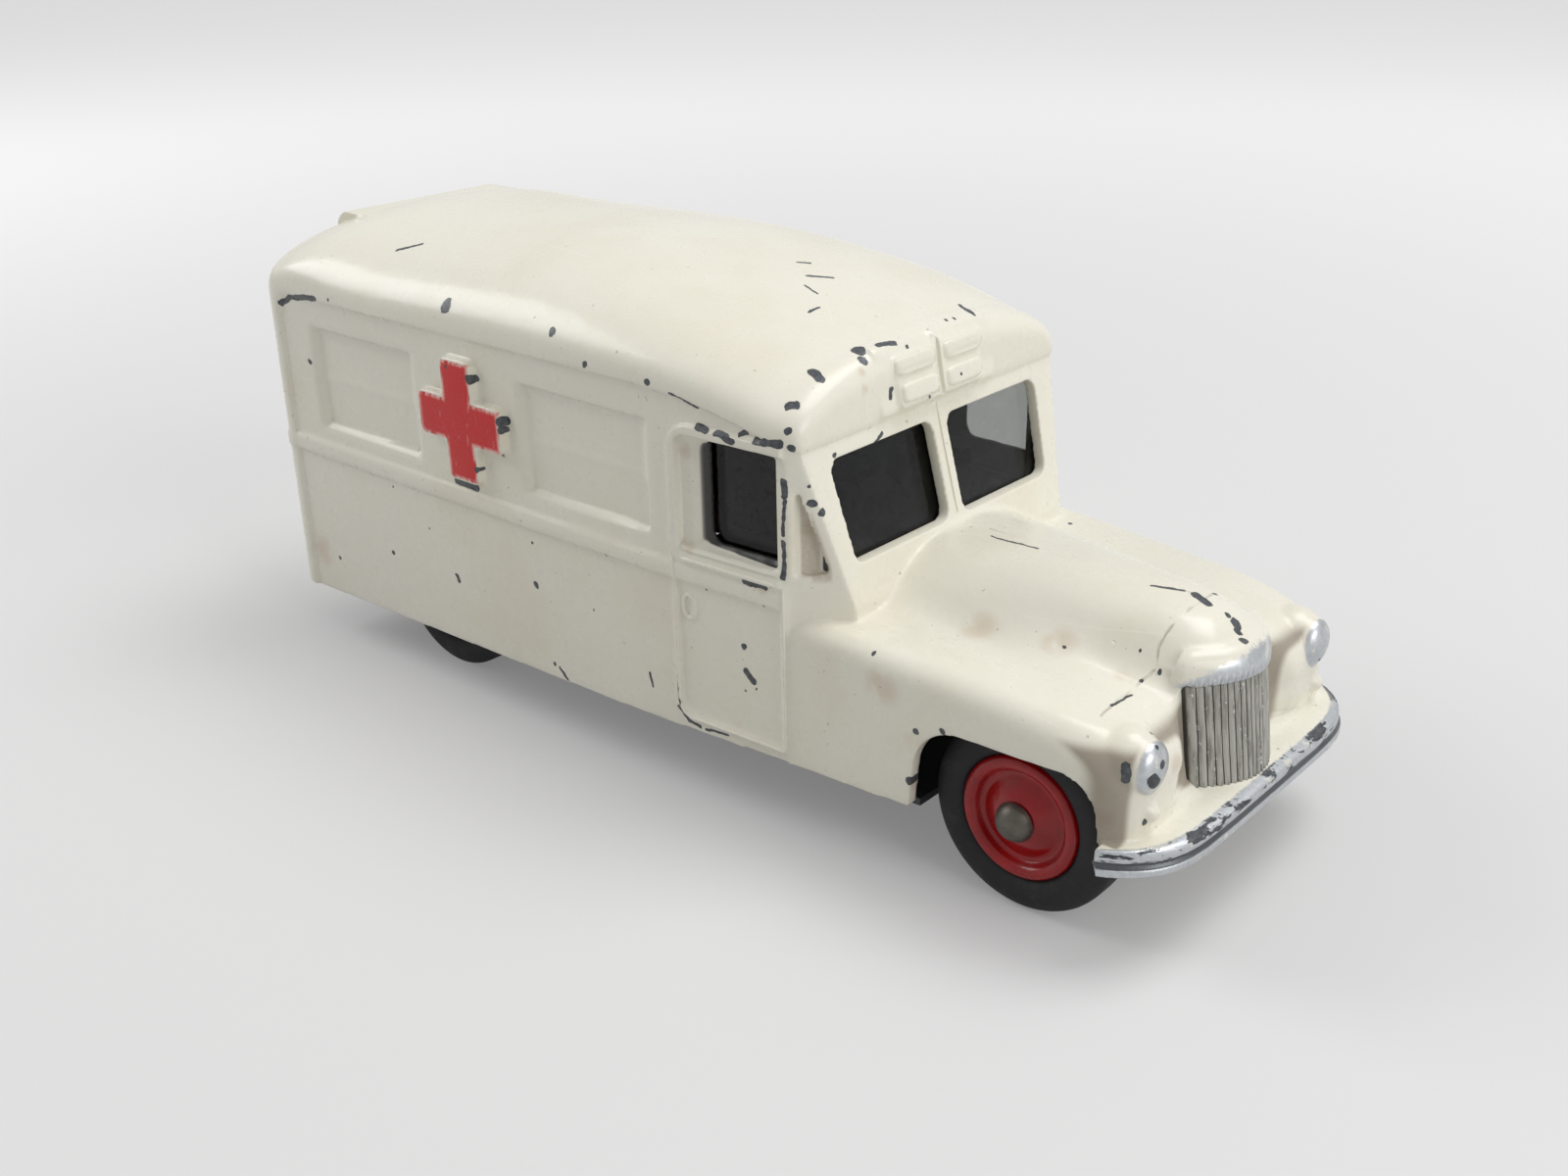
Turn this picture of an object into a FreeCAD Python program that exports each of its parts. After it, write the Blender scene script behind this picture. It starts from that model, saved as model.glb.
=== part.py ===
import FreeCAD, Part
import Sketcher
import math
import os
from types import SimpleNamespace

# Toy ambulance: a zinc body casting on a folded tinplate base, with clear glazing and four
# wheels that turn on two riveted axles.
# X points to the bonnet, Y to the vehicle's left, Z up. The origin is on the ground, midway
# between the rear doors and the bumper. Millimetres.

# A size that ends in _setback is measured back from the bumper's front, and one that ends in
# _inset forward from the rear end. Each gives the sheet a place of the same name without it.
SIZES = {
    # van and cab
    "total_length": 96.0,
    "van_rear_inset": 0.4,
    "van_front_setback": 27.5,
    "side_half_width": 17.6,
    "roof_height": 41.35,
    "roof_camber": 7.1,
    "gutter_overhang": 0.35,
    "rear_post": 2.55,
    "rear_corner": 2.2,
    "wall": 1.1,
    "sill_rear_height": 4.6,
    "sill_front_height": 6.5,
    "sill_corner": 2.5,
    "waist_height": 19.8,
    "waist_bead": 1.5,
    "bead_relief": 0.25,
    # windscreen, visor and headboard
    "screen_foot_setback": 28.15,
    "screen_foot_height": 21.75,
    "screen_head_setback": 30.8,
    "visor_drop": 2.65,
    "visor_ledge": 0.25,
    "brow_rake": 0.8,
    "brow_height": 4.25,
    "roof_brow_radius": 2.55,
    "headboard_half_width": 7.1,
    "headboard_drop": 4.4,
    "headboard_depth": 6.1,
    "headboard_relief": 0.35,
    "pane_half_pillar": 0.95,
    "pane_outer": 12.9,
    "pane_lean": 0.4,
    "pane_corner": 1.0,
    "cab_corner_length": 4.3,
    "cab_corner_depth": 3.1,
    "board_panel_length": 4.9,
    "board_panel_height": 1.35,
    "board_panel_gap": 0.45,
    "rear_board_half_width": 8.8,
    "rear_board_drop": 1.3,
    "rear_board_depth": 9.4,
    # door and its window
    "door_rear_setback": 42.85,
    "door_front_setback": 32.1,
    "door_foot_height": 7.0,
    "door_corner": 1.6,
    "door_line": 0.45,
    "hood_rim": 0.8,
    "hood_relief": 0.45,
    "frame_step": 1.5,
    "frame_depth": 0.33,
    "window_rear_setback": 39.3,
    "window_front_setback": 32.6,
    "handle_place_setback": 41.45,
    "handle_height": 16.95,
    "handle_long": 1.2,
    "handle_wide": 0.8,
    "handle_relief": 0.35,
    "quarter_margin": 0.5,
    # side panels and crosses
    "panel_depth": 0.6,
    "panel_slope": 0.8,
    "panel_rail": 0.4,
    "cross_relief": 0.85,
    "cross_corner": 0.7,
    # rear doors
    "rear_door_half_width": 12.8,
    "rear_door_foot": 7.9,
    "rear_door_drop": 1.75,
    "rear_panel_margin": 1.8,
    "rear_handle_length": 3.0,
    # bonnet, wings and grille
    "nose_start_setback": 31.8,
    "nose_front_setback": 3.15,
    "nose_half_width": 16.85,
    "nose_corner": 3.35,
    "wing_height": 18.6,
    "bonnet_height": 22.1,
    "bonnet_half_width": 12.3,
    "grille_half_width": 5.4,
    "grille_low": 9.3,
    "grille_high": 17.0,
    "grille_face_setback": 1.3,
    "grille_bulge": 2.75,
    "grille_lean": 1.05,
    "grille_back_setback": 5.6,
    "grille_rib_depth": 0.28,
    "lip_relief": 0.45,
    "lip_margin": 0.4,
    "lip_height": 2.4,
    "lip_roll": 1.8,
    # lamps
    "lamp_place_setback": 3.55,
    "lamp_centre": 12.35,
    "lamp_height": 14.3,
    "lamp_radius": 1.9,
    "lamp_dome": 1.0,
    "lamp_pod": 2.45,
    "lamp_pod_place_setback": 5.3,
    "side_lamp_place_setback": 3.3,
    "side_lamp_centre": 12.4,
    "side_lamp_height": 10.9,
    "side_lamp_radius": 0.75,
    # front wheel arch
    "arch_rear_setback": 20.6,
    "arch_front_setback": 5.4,
    "arch_height": 13.6,
    "arch_radius": 3.95,
    "arch_lean": 0.7,
    # bumper and its shelf
    "bumper_low": 7.4,
    "bumper_bar": 0.65,
    "bumper_groove": 0.3,
    "bumper_relief": 0.4,
    "bumper_sweep": 4.7,
    "bumper_half_width": 16.75,
    "shelf_height": 9.3,
    "shelf_relief": 0.3,
    "shelf_slope_setback": 1.5,
    # pillars, stud and base plate
    "base_height": 5.9,
    "base_thickness": 0.6,
    "base_gap": 0.15,
    "pillar_radius": 2.15,
    "pillar_rear_inset": 5.1,
    "pillar_rear_rise": 9.8,
    "pillar_web": 2.4,
    "pillar_front_setback": 24.1,
    "rivet_radius": 1.2,
    "rivet_clearance": 0.05,
    "rivet_head_radius": 1.9,
    "rivet_head": 0.6,
    "rest_rear_gap": 18.5,
    "rest_front_gap": 19.5,
    "rest_width": 15.8,
    "rest_depth": 0.5,
    "lug_width": 4.5,
    "lug_rise": 2.6,
    "wheel_gap": 0.5,
    # glazing
    "glazing_thickness": 0.7,
    "glazing_gap": 0.05,
    "glazing_low": 20.3,
    "glazing_drop": 0.6,
    "glazing_rear_setback": 41.25,
    "stud_radius": 1.0,
    "stud_place_setback": 39.4,
    "stud_drop": 3.15,
    "stud_head_radius": 1.5,
    "stud_head": 0.5,
    "stud_shoulder": 2.0,
    "glazing_tab": 4.0,
    # axles, hubs and tyres
    "wheel_radius": 7.55,
    "tyre_width": 4.05,
    "tread_width": 2.45,
    "tyre_shoulder": 0.7,
    "hub_back": 1.9,
    "seat_radius": 4.35,
    "seat_height": 1.25,
    "rim_radius": 4.85,
    "rim_thickness": 0.8,
    "rim_lip": 1.1,
    "rim_groove": 0.6,
    "dish_depth": 0.8,
    "boss_radius": 1.35,
    "boss_rise": 0.2,
    "axle_radius": 0.75,
    "axle_clearance": 0.05,
    "head_gap": 0.1,
    "axle_head_radius": 1.55,
    "axle_head": 1.2,
    "front_axle_setback": 12.5,
    "rear_axle_inset": 19.9,
    "front_track": 24.5,
    "rear_track": 25.2,
    # spare length of every cutting tool
    "overrun": 2.0,
}

# Heights between the waist bead and the gutter, as shares of that band.
BAND_SHARES = {
    "sill_height": 0.088,
    "panel_low": 0.136,
    "pane_low": 0.177,
    "window_low": 0.197,
    "panel_rail_height": 0.470,
    "cross_height": 0.504,
    "quarter_head": 0.646,
    "pane_high": 0.715,
    "window_high": 0.769,
    "panel_high": 0.824,
    "hood_height": 0.837,
}

# Places along the side between the van's rear end and the door, as shares of that length.
SIDE_SHARES = {
    "panel_rear": 0.1325,
    "cross_centre": 0.5467,
    "panel_front": 0.6773,
}

# Sizes of the side's decoration: the panels' length, and the cross's span and arm.
PANEL_LENGTH_SHARE = 0.2836
CROSS_SPAN_SHARE = 0.75
CROSS_ARM_SHARE = 0.364

ROOF_STEPS = 12
HOLLOW_STEPS = 8
END_STEPS = 4
PLAN_STEPS = 8
RIB_COUNT = 22
ROOF_FULLNESS_SHARE = 0.87
BONNET_FLAT_SHARE = 3.0
BONNET_TOE_SHARE = 1.5
BOARD_SPLIT_SHARE = 0.54
PILLAR_TOP_SHARE = 0.965

# Along the van from its rear: place, roof crown, gutter and half width.
VAN_SHARES = (
    (0.000, 0.953, 1.000, 1.000),
    (0.165, 0.988, 1.000, 1.000),
    (0.368, 0.996, 1.000, 1.000),
    (0.550, 1.000, 1.000, 1.000),
    (0.716, 0.974, 1.000, 0.995),
    (0.805, 0.950, 0.989, 0.981),
    (0.869, 0.927, 0.963, 0.967),
    (0.934, 0.895, 0.931, 0.953),
    (1.000, 0.857, 0.905, 0.940),
)

# From the middle of the bumper to its end: place across and distance behind the front.
BUMPER_SHARES = (
    (0.00, 0.000),
    (0.30, 0.003),
    (0.55, 0.022),
    (0.72, 0.105),
    (0.84, 0.300),
    (0.93, 0.600),
    (1.00, 1.000),
)

# Along the nose from the cab: place, half width, wing top, bonnet crown, bonnet half width
# and the radius of the wing's shoulder.
NOSE_SHARES = (
    (0.000, 1.000, 1.000, 1.000, 1.000, 0.48),
    (0.180, 0.990, 0.988, 0.994, 0.900, 0.50),
    (0.400, 0.973, 0.968, 0.988, 0.780, 0.54),
    (0.630, 0.957, 0.946, 0.980, 0.660, 0.58),
    (0.800, 0.942, 0.920, 0.966, 0.570, 0.68),
    (0.900, 0.920, 0.888, 0.943, 0.540, 0.82),
    (0.962, 0.878, 0.835, 0.897, 0.520, 0.94),
    (0.990, 0.822, 0.770, 0.843, 0.500, 1.00),
    (1.000, 0.765, 0.705, 0.785, 0.485, 0.96),
)


class Size:
    """A length that carries both its value and the sheet expression behind it."""

    def __init__(self, value, text):
        self.value = value
        self.text = text

    def _with(self, other, sign, value):
        return Size(value, f"({self.text} {sign} {as_size(other).text})")

    def __add__(self, other):
        return self._with(other, "+", self.value + as_size(other).value)

    def __sub__(self, other):
        return self._with(other, "-", self.value - as_size(other).value)

    def __mul__(self, other):
        return self._with(other, "*", self.value * as_size(other).value)

    def __truediv__(self, other):
        return self._with(other, "/", self.value / as_size(other).value)

    def __neg__(self):
        return Size(-self.value, f"(0 - {self.text})")


def as_size(value):
    """A plain number, such as a share or a count, as a Size."""
    return value if isinstance(value, Size) else Size(value, repr(value))


def place_formulas():
    """Formulas of the places and levels that follow from the driving sizes."""
    formulas = {
        "gutter_height": "roof_height - roof_camber",
        "visor_height": "gutter_height - visor_drop",
        "headboard_top": "roof_height - headboard_drop",
        "rear_board_height": "roof_height - rear_board_drop",
        "rear_door_head": "gutter_height - rear_door_drop",
        "glazing_roof": "gutter_height - glazing_drop",
        "stud_top": "roof_height - stud_drop",
    }
    for name in SIZES:
        if name.endswith("_setback"):
            formulas[name.removesuffix("_setback")] = f"total_length / 2 - {name}"
        elif name.endswith("_inset"):
            formulas[name.removesuffix("_inset")] = f"{name} - total_length / 2"
    for name, share in BAND_SHARES.items():
        formulas[name] = f"waist_height + (gutter_height - waist_height) * {share}"
    for name, share in SIDE_SHARES.items():
        formulas[name] = f"van_rear + (door_rear - van_rear) * {share}"
    formulas["panel_length"] = f"(door_rear - van_rear) * {PANEL_LENGTH_SHARE}"
    formulas["cross_span"] = f"(gutter_height - waist_height) * {CROSS_SPAN_SHARE}"
    formulas["cross_arm"] = f"cross_span * {CROSS_ARM_SHARE}"
    formulas["van_length"] = "van_front - van_rear"
    formulas["nose_length"] = "nose_front - nose_start"
    return formulas


def make_sheet(doc, formulas):
    """The driving dimensions and then the places that follow from them, one to a row."""
    sheet = doc.addObject("Spreadsheet::Sheet", "sizes")
    contents = {name: str(value) for name, value in SIZES.items()}
    contents.update({name: f"={formula}" for name, formula in formulas.items()})
    for row, name in enumerate(contents, start=1):
        sheet.set(f"A{row}", name)
        sheet.setAlias(f"B{row}", name)
    for row, content in enumerate(contents.values(), start=1):
        sheet.set(f"B{row}", content)
    doc.recompute()
    return sheet


doc = FreeCAD.newDocument("toy_ambulance")
PLACES = place_formulas()
sheet = make_sheet(doc, PLACES)
NAMES = [*SIZES, *PLACES]
mm = SimpleNamespace(**{name: float(sheet.get(name)) for name in NAMES})
cell = SimpleNamespace(**{name: Size(float(sheet.get(name)), f"sizes.{name}") for name in NAMES})
ORIGIN = Size(0.0, "0")


def at(x, y, z):
    return FreeCAD.Vector(x, y, z)


def bind(thing, **sizes):
    """Tie properties of a document object to the sheet."""
    for name, size in sizes.items():
        thing.setExpression(name, as_size(size).text)


def place(thing, x, y, z, axis=None, angle=0):
    """Turn a document object about its own origin and set it at a place from the sheet."""
    if axis is not None:
        thing.Placement = FreeCAD.Placement(at(0, 0, 0), FreeCAD.Rotation(axis, angle))
    for name, size in (("x", x), ("y", y), ("z", z)):
        thing.setExpression(f"Placement.Base.{name}", as_size(size).text)


def box(label, low, high):
    """Block between two corners."""
    block = doc.addObject("Part::Box", label)
    bind(block, Length=high[0] - low[0], Width=high[1] - low[1], Height=high[2] - low[2])
    place(block, *low)
    return block


def cylinder(label, radius, height, x, y, z, axis=None, angle=0):
    """Round bar that starts at a point and rises along Z, or along the turned Z."""
    bar = doc.addObject("Part::Cylinder", label)
    bind(bar, Radius=radius, Height=height)
    place(bar, x, y, z, axis, angle)
    return bar


def feature(label, shape):
    """Document object for a form that only Part's own functions can make."""
    made = doc.addObject("Part::Feature", label)
    made.Shape = shape
    return made


def fuse(label, things):
    joined = doc.addObject("Part::MultiFuse", label)
    joined.Shapes = things
    return joined


def cut(label, base, tool):
    rest = doc.addObject("Part::Cut", label)
    rest.Base = base
    rest.Tool = tool
    return rest


def rounded_wire(points, radii):
    """Closed wire of straight runs whose corners are arcs of the given radii."""
    count = len(points)
    edges = []
    starts = []
    ends = []
    for index, point in enumerate(points):
        before = (points[index - 1] - point).normalize()
        after = (points[(index + 1) % count] - point).normalize()
        radius = radii[index] if isinstance(radii, (list, tuple)) else radii
        half = before.getAngle(after) / 2
        if radius <= 0 or half > math.pi / 2 - 1e-6:
            starts.append(point)
            ends.append(point)
            continue
        reach = radius / math.tan(half)
        first = point + before * reach
        last = point + after * reach
        inward = (before + after).normalize()
        middle = point + inward * (radius / math.sin(half) - radius)
        starts.append(first)
        ends.append(last)
        edges.append((index, Part.Arc(first, middle, last).toShape()))
    arcs = dict(edges)
    ordered = []
    for index in range(count):
        if index in arcs:
            ordered.append(arcs[index])
        following = (index + 1) % count
        if ends[index].distanceToPoint(starts[following]) > 1e-6:
            ordered.append(Part.makeLine(ends[index], starts[following]))
    return Part.Wire(ordered)


def side_prism(points, radii, low, high):
    """Solid whose outline is drawn on the side view, between two values of Y."""
    wire = rounded_wire([at(x, low, z) for x, z in points], radii)
    return Part.Face(wire).extrude(at(0, high - low, 0))


def front_prism(points, radii, low, high):
    """Solid whose outline is drawn on the front view, between two values of X."""
    wire = rounded_wire([at(low, y, z) for y, z in points], radii)
    return Part.Face(wire).extrude(at(high - low, 0, 0))


def mirrored(shape):
    """The same shape on the other side of the vehicle."""
    return shape.mirror(at(0, 0, 0), at(0, 1, 0))


def both_sides(shape):
    return [shape, mirrored(shape)]


# Levels and lines that several pieces share

REAR = -mm.total_length / 2
FRONT = mm.total_length / 2
ROOF_HALF_WIDTH = mm.side_half_width + mm.gutter_overhang
WALL_FACE = mm.gutter_overhang
CAVITY = WALL_FACE + mm.wall
SCREEN_LEAN = (mm.screen_foot - mm.screen_head) / (mm.visor_height - mm.screen_foot_height)
BROW_LEAN = mm.brow_rake / mm.brow_height
GRILLE_LEAN = mm.grille_lean / (mm.grille_high - mm.grille_low)
GRILLE_BEND = mm.grille_bulge / mm.grille_half_width ** 2
BUMPER_TOP = mm.bumper_low + 2 * mm.bumper_bar + mm.bumper_groove
FAR = mm.total_length
MIDDLE = mm.side_half_width / 2


def screen_line(z, inset=0):
    """X of the windscreen's outer face at a height, or of a face that lies behind it."""
    return mm.screen_foot - (z - mm.screen_foot_height) * SCREEN_LEAN - inset


def brow_line(z, relief=0):
    """X of the roof's front face above the visor, or of what stands proud of it."""
    return mm.screen_head + mm.visor_ledge - (z - mm.visor_height) * BROW_LEAN + relief


def sill_line(x):
    """Height of the body's lower edge, which rises a little to the front."""
    share = (x - REAR) / (mm.arch_rear - REAR)
    return mm.sill_rear_height + (mm.sill_front_height - mm.sill_rear_height) * share


def van_row(x):
    """Roof crown, gutter height and half width of the van at a place along it."""
    along = (x - mm.van_rear) / mm.van_length
    for before, after in zip(VAN_SHARES, VAN_SHARES[1:]):
        if along <= after[0]:
            break
    share = (along - before[0]) / (after[0] - before[0])
    crown, gutter, width = [low + (high - low) * share for low, high in zip(before[1:], after[1:])]
    return mm.roof_height * crown, mm.gutter_height * gutter, ROOF_HALF_WIDTH * width


def van_section(x, crown, springing, half_width, plain=False):
    """Closed outline across the van: floor, two walls and the roof, arched or of plain flats."""
    steps = HOLLOW_STEPS if plain else ROOF_STEPS
    roof = []
    for step in range(steps + 1):
        turn = math.pi * (step / steps - 1 / 2)
        rise = (crown - springing) * max(math.cos(turn), 0) ** ROOF_FULLNESS_SHARE
        roof.append(at(x, half_width * math.sin(turn), springing + rise))
    right = at(x, -half_width, 0)
    left = at(x, half_width, 0)
    if plain:
        return Part.makePolygon([left, right] + roof + [left])
    arch = Part.BSplineCurve()
    arch.interpolate(roof)
    return Part.Wire([Part.makeLine(left, right), Part.makeLine(right, roof[0]),
                      arch.toShape(), Part.makeLine(roof[-1], left)])


def van_form(inset, start, end, plain):
    """The van between two places, drawn in by an inset, as a smooth or a plain loft."""
    between = [mm.van_rear + mm.van_length * row[0] for row in VAN_SHARES]
    places = [start] + [x for x in between if start < x - mm.wall and x + mm.wall < end] + [end]
    sections = []
    for x in places:
        crown, springing, half_width = van_row(x)
        sections.append(van_section(x, crown - inset, springing, half_width - inset, plain))
    return Part.makeLoft(sections, True, plain)


def rounded_end(start, end, radius, width_share):
    """The van's end rolled over from a place inwards of it to its flat end face."""
    crown, springing, half_width = van_row(start)
    sections = []
    for step in range(END_STEPS + 1):
        turn = math.pi / 2 * step / END_STEPS
        drop = radius * (1 - math.cos(turn))
        x = start + (end - start) * math.sin(turn)
        sections.append(van_section(x, crown - drop, springing, half_width - drop * width_share))
    return Part.makeLoft(sections, True, False)


def nose_station(share_row, inset):
    """X and the five sizes of the nose's outline at one station, less an inset."""
    along, width, wing, crown, bonnet, corner = share_row
    return (mm.nose_start + mm.nose_length * along,
            mm.nose_half_width * width - inset,
            mm.wing_height * wing - inset,
            mm.bonnet_height * crown - inset,
            mm.bonnet_half_width * bonnet - inset,
            max(mm.nose_corner * corner - inset, mm.wall / 2))


def nose_section(x, half_width, wing, crown, bonnet, corner, plain=False):
    """Closed outline across the nose: floor, sides, wing shoulders, wings and bonnet."""
    flat = half_width - corner
    top = []
    for step in range(ROOF_STEPS + 1):
        y = flat * (2 * step / ROOF_STEPS - 1)
        share = min(abs(y) / bonnet, 1)
        swell = (1 - share ** BONNET_FLAT_SHARE) ** BONNET_TOE_SHARE
        top.append(at(x, y, wing + (crown - wing) * swell))
    foot = [at(x, half_width, 0), at(x, -half_width, 0)]
    near = at(x, -half_width, wing - corner)
    far = at(x, half_width, wing - corner)
    if plain:
        return Part.makePolygon(foot + [near] + top + [far] + foot[:1])
    back = Part.BSplineCurve()
    back.interpolate(top)
    diagonal = corner * (1 - math.sqrt(1 / 2))
    over_near = at(x, diagonal - half_width, wing - diagonal)
    over_far = at(x, half_width - diagonal, wing - diagonal)
    return Part.Wire([Part.makeLine(*foot), Part.makeLine(foot[1], near),
                      Part.Arc(near, over_near, top[0]).toShape(), back.toShape(),
                      Part.Arc(top[-1], over_far, far).toShape(), Part.makeLine(far, foot[0])])


def nose_form(inset, plain=False):
    """Bonnet and wings drawn in by an inset, as a smooth loft or a plain one of fewer rows."""
    rows = NOSE_SHARES[::2] if plain else NOSE_SHARES
    sections = [nose_section(*nose_station(row, inset), plain) for row in rows]
    return Part.makeLoft(sections, True, plain)


def cab_corner_tools(inset):
    """Wedges outside the slanted corners between the doors and the windscreen."""
    along = at(mm.cab_corner_length, -mm.cab_corner_depth, 0).normalize()
    outward = at(-along.y, along.x, 0)
    start = at(mm.nose_start, mm.nose_half_width, 0) - outward * inset
    near = start - along * mm.cab_corner_length
    far = start + along * mm.side_half_width
    outline = [near, far, far + outward * FAR, near + outward * FAR]
    wedge = Part.Face(Part.makePolygon(outline + [near]))
    return both_sides(wedge.extrude(at(0, 0, FAR)))


def cab_form(inset, screen_inset, start):
    """The van drawn in by an inset and trimmed by its windscreen, brow and cab corners."""
    brow = mm.visor_height
    front = side_prism([(screen_line(0, screen_inset), 0), (screen_line(brow, screen_inset), brow),
                        (brow_line(brow, -screen_inset), brow),
                        (brow_line(FAR, -screen_inset), FAR), (FAR, FAR), (FAR, 0)], 0, -FAR, FAR)
    van = van_form(inset, start, mm.van_front, True)
    return van.cut([front] + cab_corner_tools(inset - WALL_FACE))


def gutter_prism():
    """Everything above the gutter line, and the full height of the rear corner posts."""
    post = mm.van_rear + mm.rear_post
    places = [mm.van_rear + mm.van_length * row[0] for row in VAN_SHARES if row[2] < 1]
    line = [(x, van_row(x)[1]) for x in places]
    level_end = mm.van_rear + mm.van_length * VAN_SHARES[len(VAN_SHARES) - len(line) - 1][0]
    outline = [(-FAR, 0), (post, 0), (post, mm.gutter_height), (level_end, mm.gutter_height)]
    outline += line + [(FAR, line[-1][1]), (FAR, FAR), (-FAR, FAR)]
    radii = [0, 0, mm.rear_corner] + [0] * (len(outline) - 3)
    return side_prism(outline, radii, -FAR, FAR)


def roof_form():
    """Roof with its overhanging gutter and rear posts, rolled over at both ends."""
    rear = mm.van_rear + mm.rear_corner
    face = mm.screen_head + mm.visor_ledge
    front = face - mm.roof_brow_radius
    rear_end = rounded_end(rear, mm.van_rear, mm.rear_corner, 1)
    front_end = rounded_end(front, face, mm.roof_brow_radius, 1 / 2)
    roof = van_form(0, rear, front, False).fuse([rear_end, front_end])
    return roof.cut(cab_corner_tools(-WALL_FACE)).common(gutter_prism())


def skin(relief):
    """The van's walls raised by a relief, from just inside the rear posts forward."""
    return cab_form(WALL_FACE - relief, 0, mm.van_rear + mm.rear_post / 2)


def slabs(outline, radii, skin_form):
    """A side-view outline raised to a skin, as one slab on each side of the vehicle."""
    slab = side_prism(outline, radii, MIDDLE, FAR).common(skin_form)
    return both_sides(slab)


def frames(outer, outer_radii, inner, inner_radii, skin_form):
    """What lies between two side-view outlines, raised to a skin on both sides."""
    slab = side_prism(outer, outer_radii, MIDDLE, FAR).cut(side_prism(inner, inner_radii, 0, FAR))
    return both_sides(slab.common(skin_form))


def rectangle(x_low, x_high, z_low, z_high):
    return [(x_low, z_low), (x_high, z_low), (x_high, z_high), (x_low, z_high)]


def drawn_in(x_low, x_high, z_low, z_high, margin):
    return rectangle(x_low + margin, x_high - margin, z_low + margin, z_high - margin)


def cross_outline():
    """Twelve corners of the equal-armed cross on the side."""
    arm = mm.cross_arm / 2
    reach = mm.cross_span / 2
    quarter = [(reach, -arm), (reach, arm), (arm, arm), (arm, reach), (-arm, reach), (-arm, arm)]
    whole = quarter + [(-x, -z) for x, z in quarter]
    return [(x + mm.cross_centre, z + mm.cross_height) for x, z in whole]


def side_reliefs():
    """Waist bead, door outline, window hood, sill beads and cross, on both sides."""
    bead = skin(mm.bead_relief)
    hood = skin(mm.hood_relief)
    low = mm.waist_height - mm.waist_bead / 2
    high = mm.waist_height + mm.waist_bead / 2
    waist = slabs(rectangle(REAR, mm.nose_start, low, high), 0, bead)
    door = (mm.door_rear, mm.door_front + mm.door_line, mm.door_foot_height, mm.sill_height)
    door_radii = [mm.door_corner, 0, 0, 0]
    lines = frames(rectangle(*door), door_radii, drawn_in(*door, mm.door_line), door_radii, bead)
    rim = (mm.door_rear, mm.nose_start, mm.sill_height, mm.hood_height)
    inside = (rim[0] + mm.hood_rim, FAR, 0, rim[3] - mm.hood_rim)
    top = mm.frame_step * 3 / 2
    hoods = frames(rectangle(*rim), [0, 0, 0, top], rectangle(*inside), [0, 0, 0, top / 2], hood)
    sill_beads = []
    half = mm.hood_rim / 3
    for level, form in ((mm.sill_height, hood), (mm.sill_height + mm.hood_rim, bead)):
        strip = rectangle(mm.door_rear + mm.door_line * 2, mm.door_front, level - half, level + half)
        sill_beads += slabs(strip, 0, form)
    cross = slabs(cross_outline(), mm.cross_corner, skin(mm.cross_relief))
    return waist + lines + hoods + sill_beads + cross


def window_recesses():
    """Stepped frames round the door windows and the three-cornered quarter panels."""
    tools = []
    for step in (1, 2):
        inner = cab_form(WALL_FACE + mm.frame_depth * step, 0, mm.van_rear + mm.rear_post / 2)
        rear = mm.door_rear + mm.hood_rim + mm.frame_step * (step - 1)
        high = mm.hood_height - mm.hood_rim - mm.frame_depth * (step - 1)
        low = mm.window_low - mm.frame_depth * (3 - step)
        outline = rectangle(rear, mm.window_front, low, high)
        tool = side_prism(outline, [0, 0, 0, mm.pane_corner], MIDDLE, FAR).cut(inner)
        tools += both_sides(tool)
    margin = mm.quarter_margin
    low = mm.screen_foot_height
    corner = [(mm.nose_start + margin, low), (screen_line(low, margin * 2), low + margin),
              (screen_line(mm.quarter_head, margin * 2), mm.quarter_head),
              (mm.nose_start + margin, mm.quarter_head)]
    tools += both_sides(side_prism(corner, 0, MIDDLE, FAR).cut(inner))
    return tools


def window_openings():
    """The two windscreen panes and the door windows, right through the walls."""
    inner = mm.pane_half_pillar
    low = mm.pane_outer - mm.pane_lean
    high = mm.pane_outer + mm.pane_lean
    pane = [(inner, mm.pane_low), (low, mm.pane_low), (high, mm.pane_high), (inner, mm.pane_high)]
    screen = front_prism(pane, mm.pane_corner, mm.window_rear, mm.screen_foot + mm.wall * 2)
    outline = rectangle(mm.window_rear, mm.window_front, mm.window_low, mm.window_high)
    radii = [mm.pane_corner, mm.pane_corner / 4, mm.pane_corner, mm.pane_corner / 2]
    door = side_prism(outline, radii, MIDDLE, FAR)
    return both_sides(screen) + both_sides(door)


def headboard():
    """Sign board on the roof's front: a block with four raised panels and a centre bead."""
    foot = mm.visor_height + mm.visor_ledge
    top = mm.headboard_top
    back = mm.screen_head - mm.headboard_depth
    half = mm.headboard_half_width
    layers = []
    for relief in (mm.headboard_relief, mm.headboard_relief * 2):
        outline = [(back, foot), (brow_line(foot, relief), foot), (brow_line(top, relief), top),
                   (back, top)]
        layers.append(side_prism(outline, [0, 0, mm.wall, 0], -half, half))
    block, slab = layers
    gap = mm.board_panel_gap
    near = gap * 3 / 4
    wide = near + mm.board_panel_length
    middle = foot + (top - foot) * BOARD_SPLIT_SHARE
    corner = mm.board_panel_height / 3
    panels = []
    for low, high, end in ((foot + gap / 2, middle, wide), (middle + gap, top - gap * 2, wide + gap)):
        outline = [(near, low), (end, low), (end, high), (near, high)]
        panels += both_sides(front_prism(outline, corner, back, FAR).common(slab))
    bead = [(-gap / 2, 0), (gap / 2, 0), (gap / 2, FAR), (-gap / 2, FAR)]
    return [block] + panels + [front_prism(bead, 0, back, FAR).common(slab)]


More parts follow.
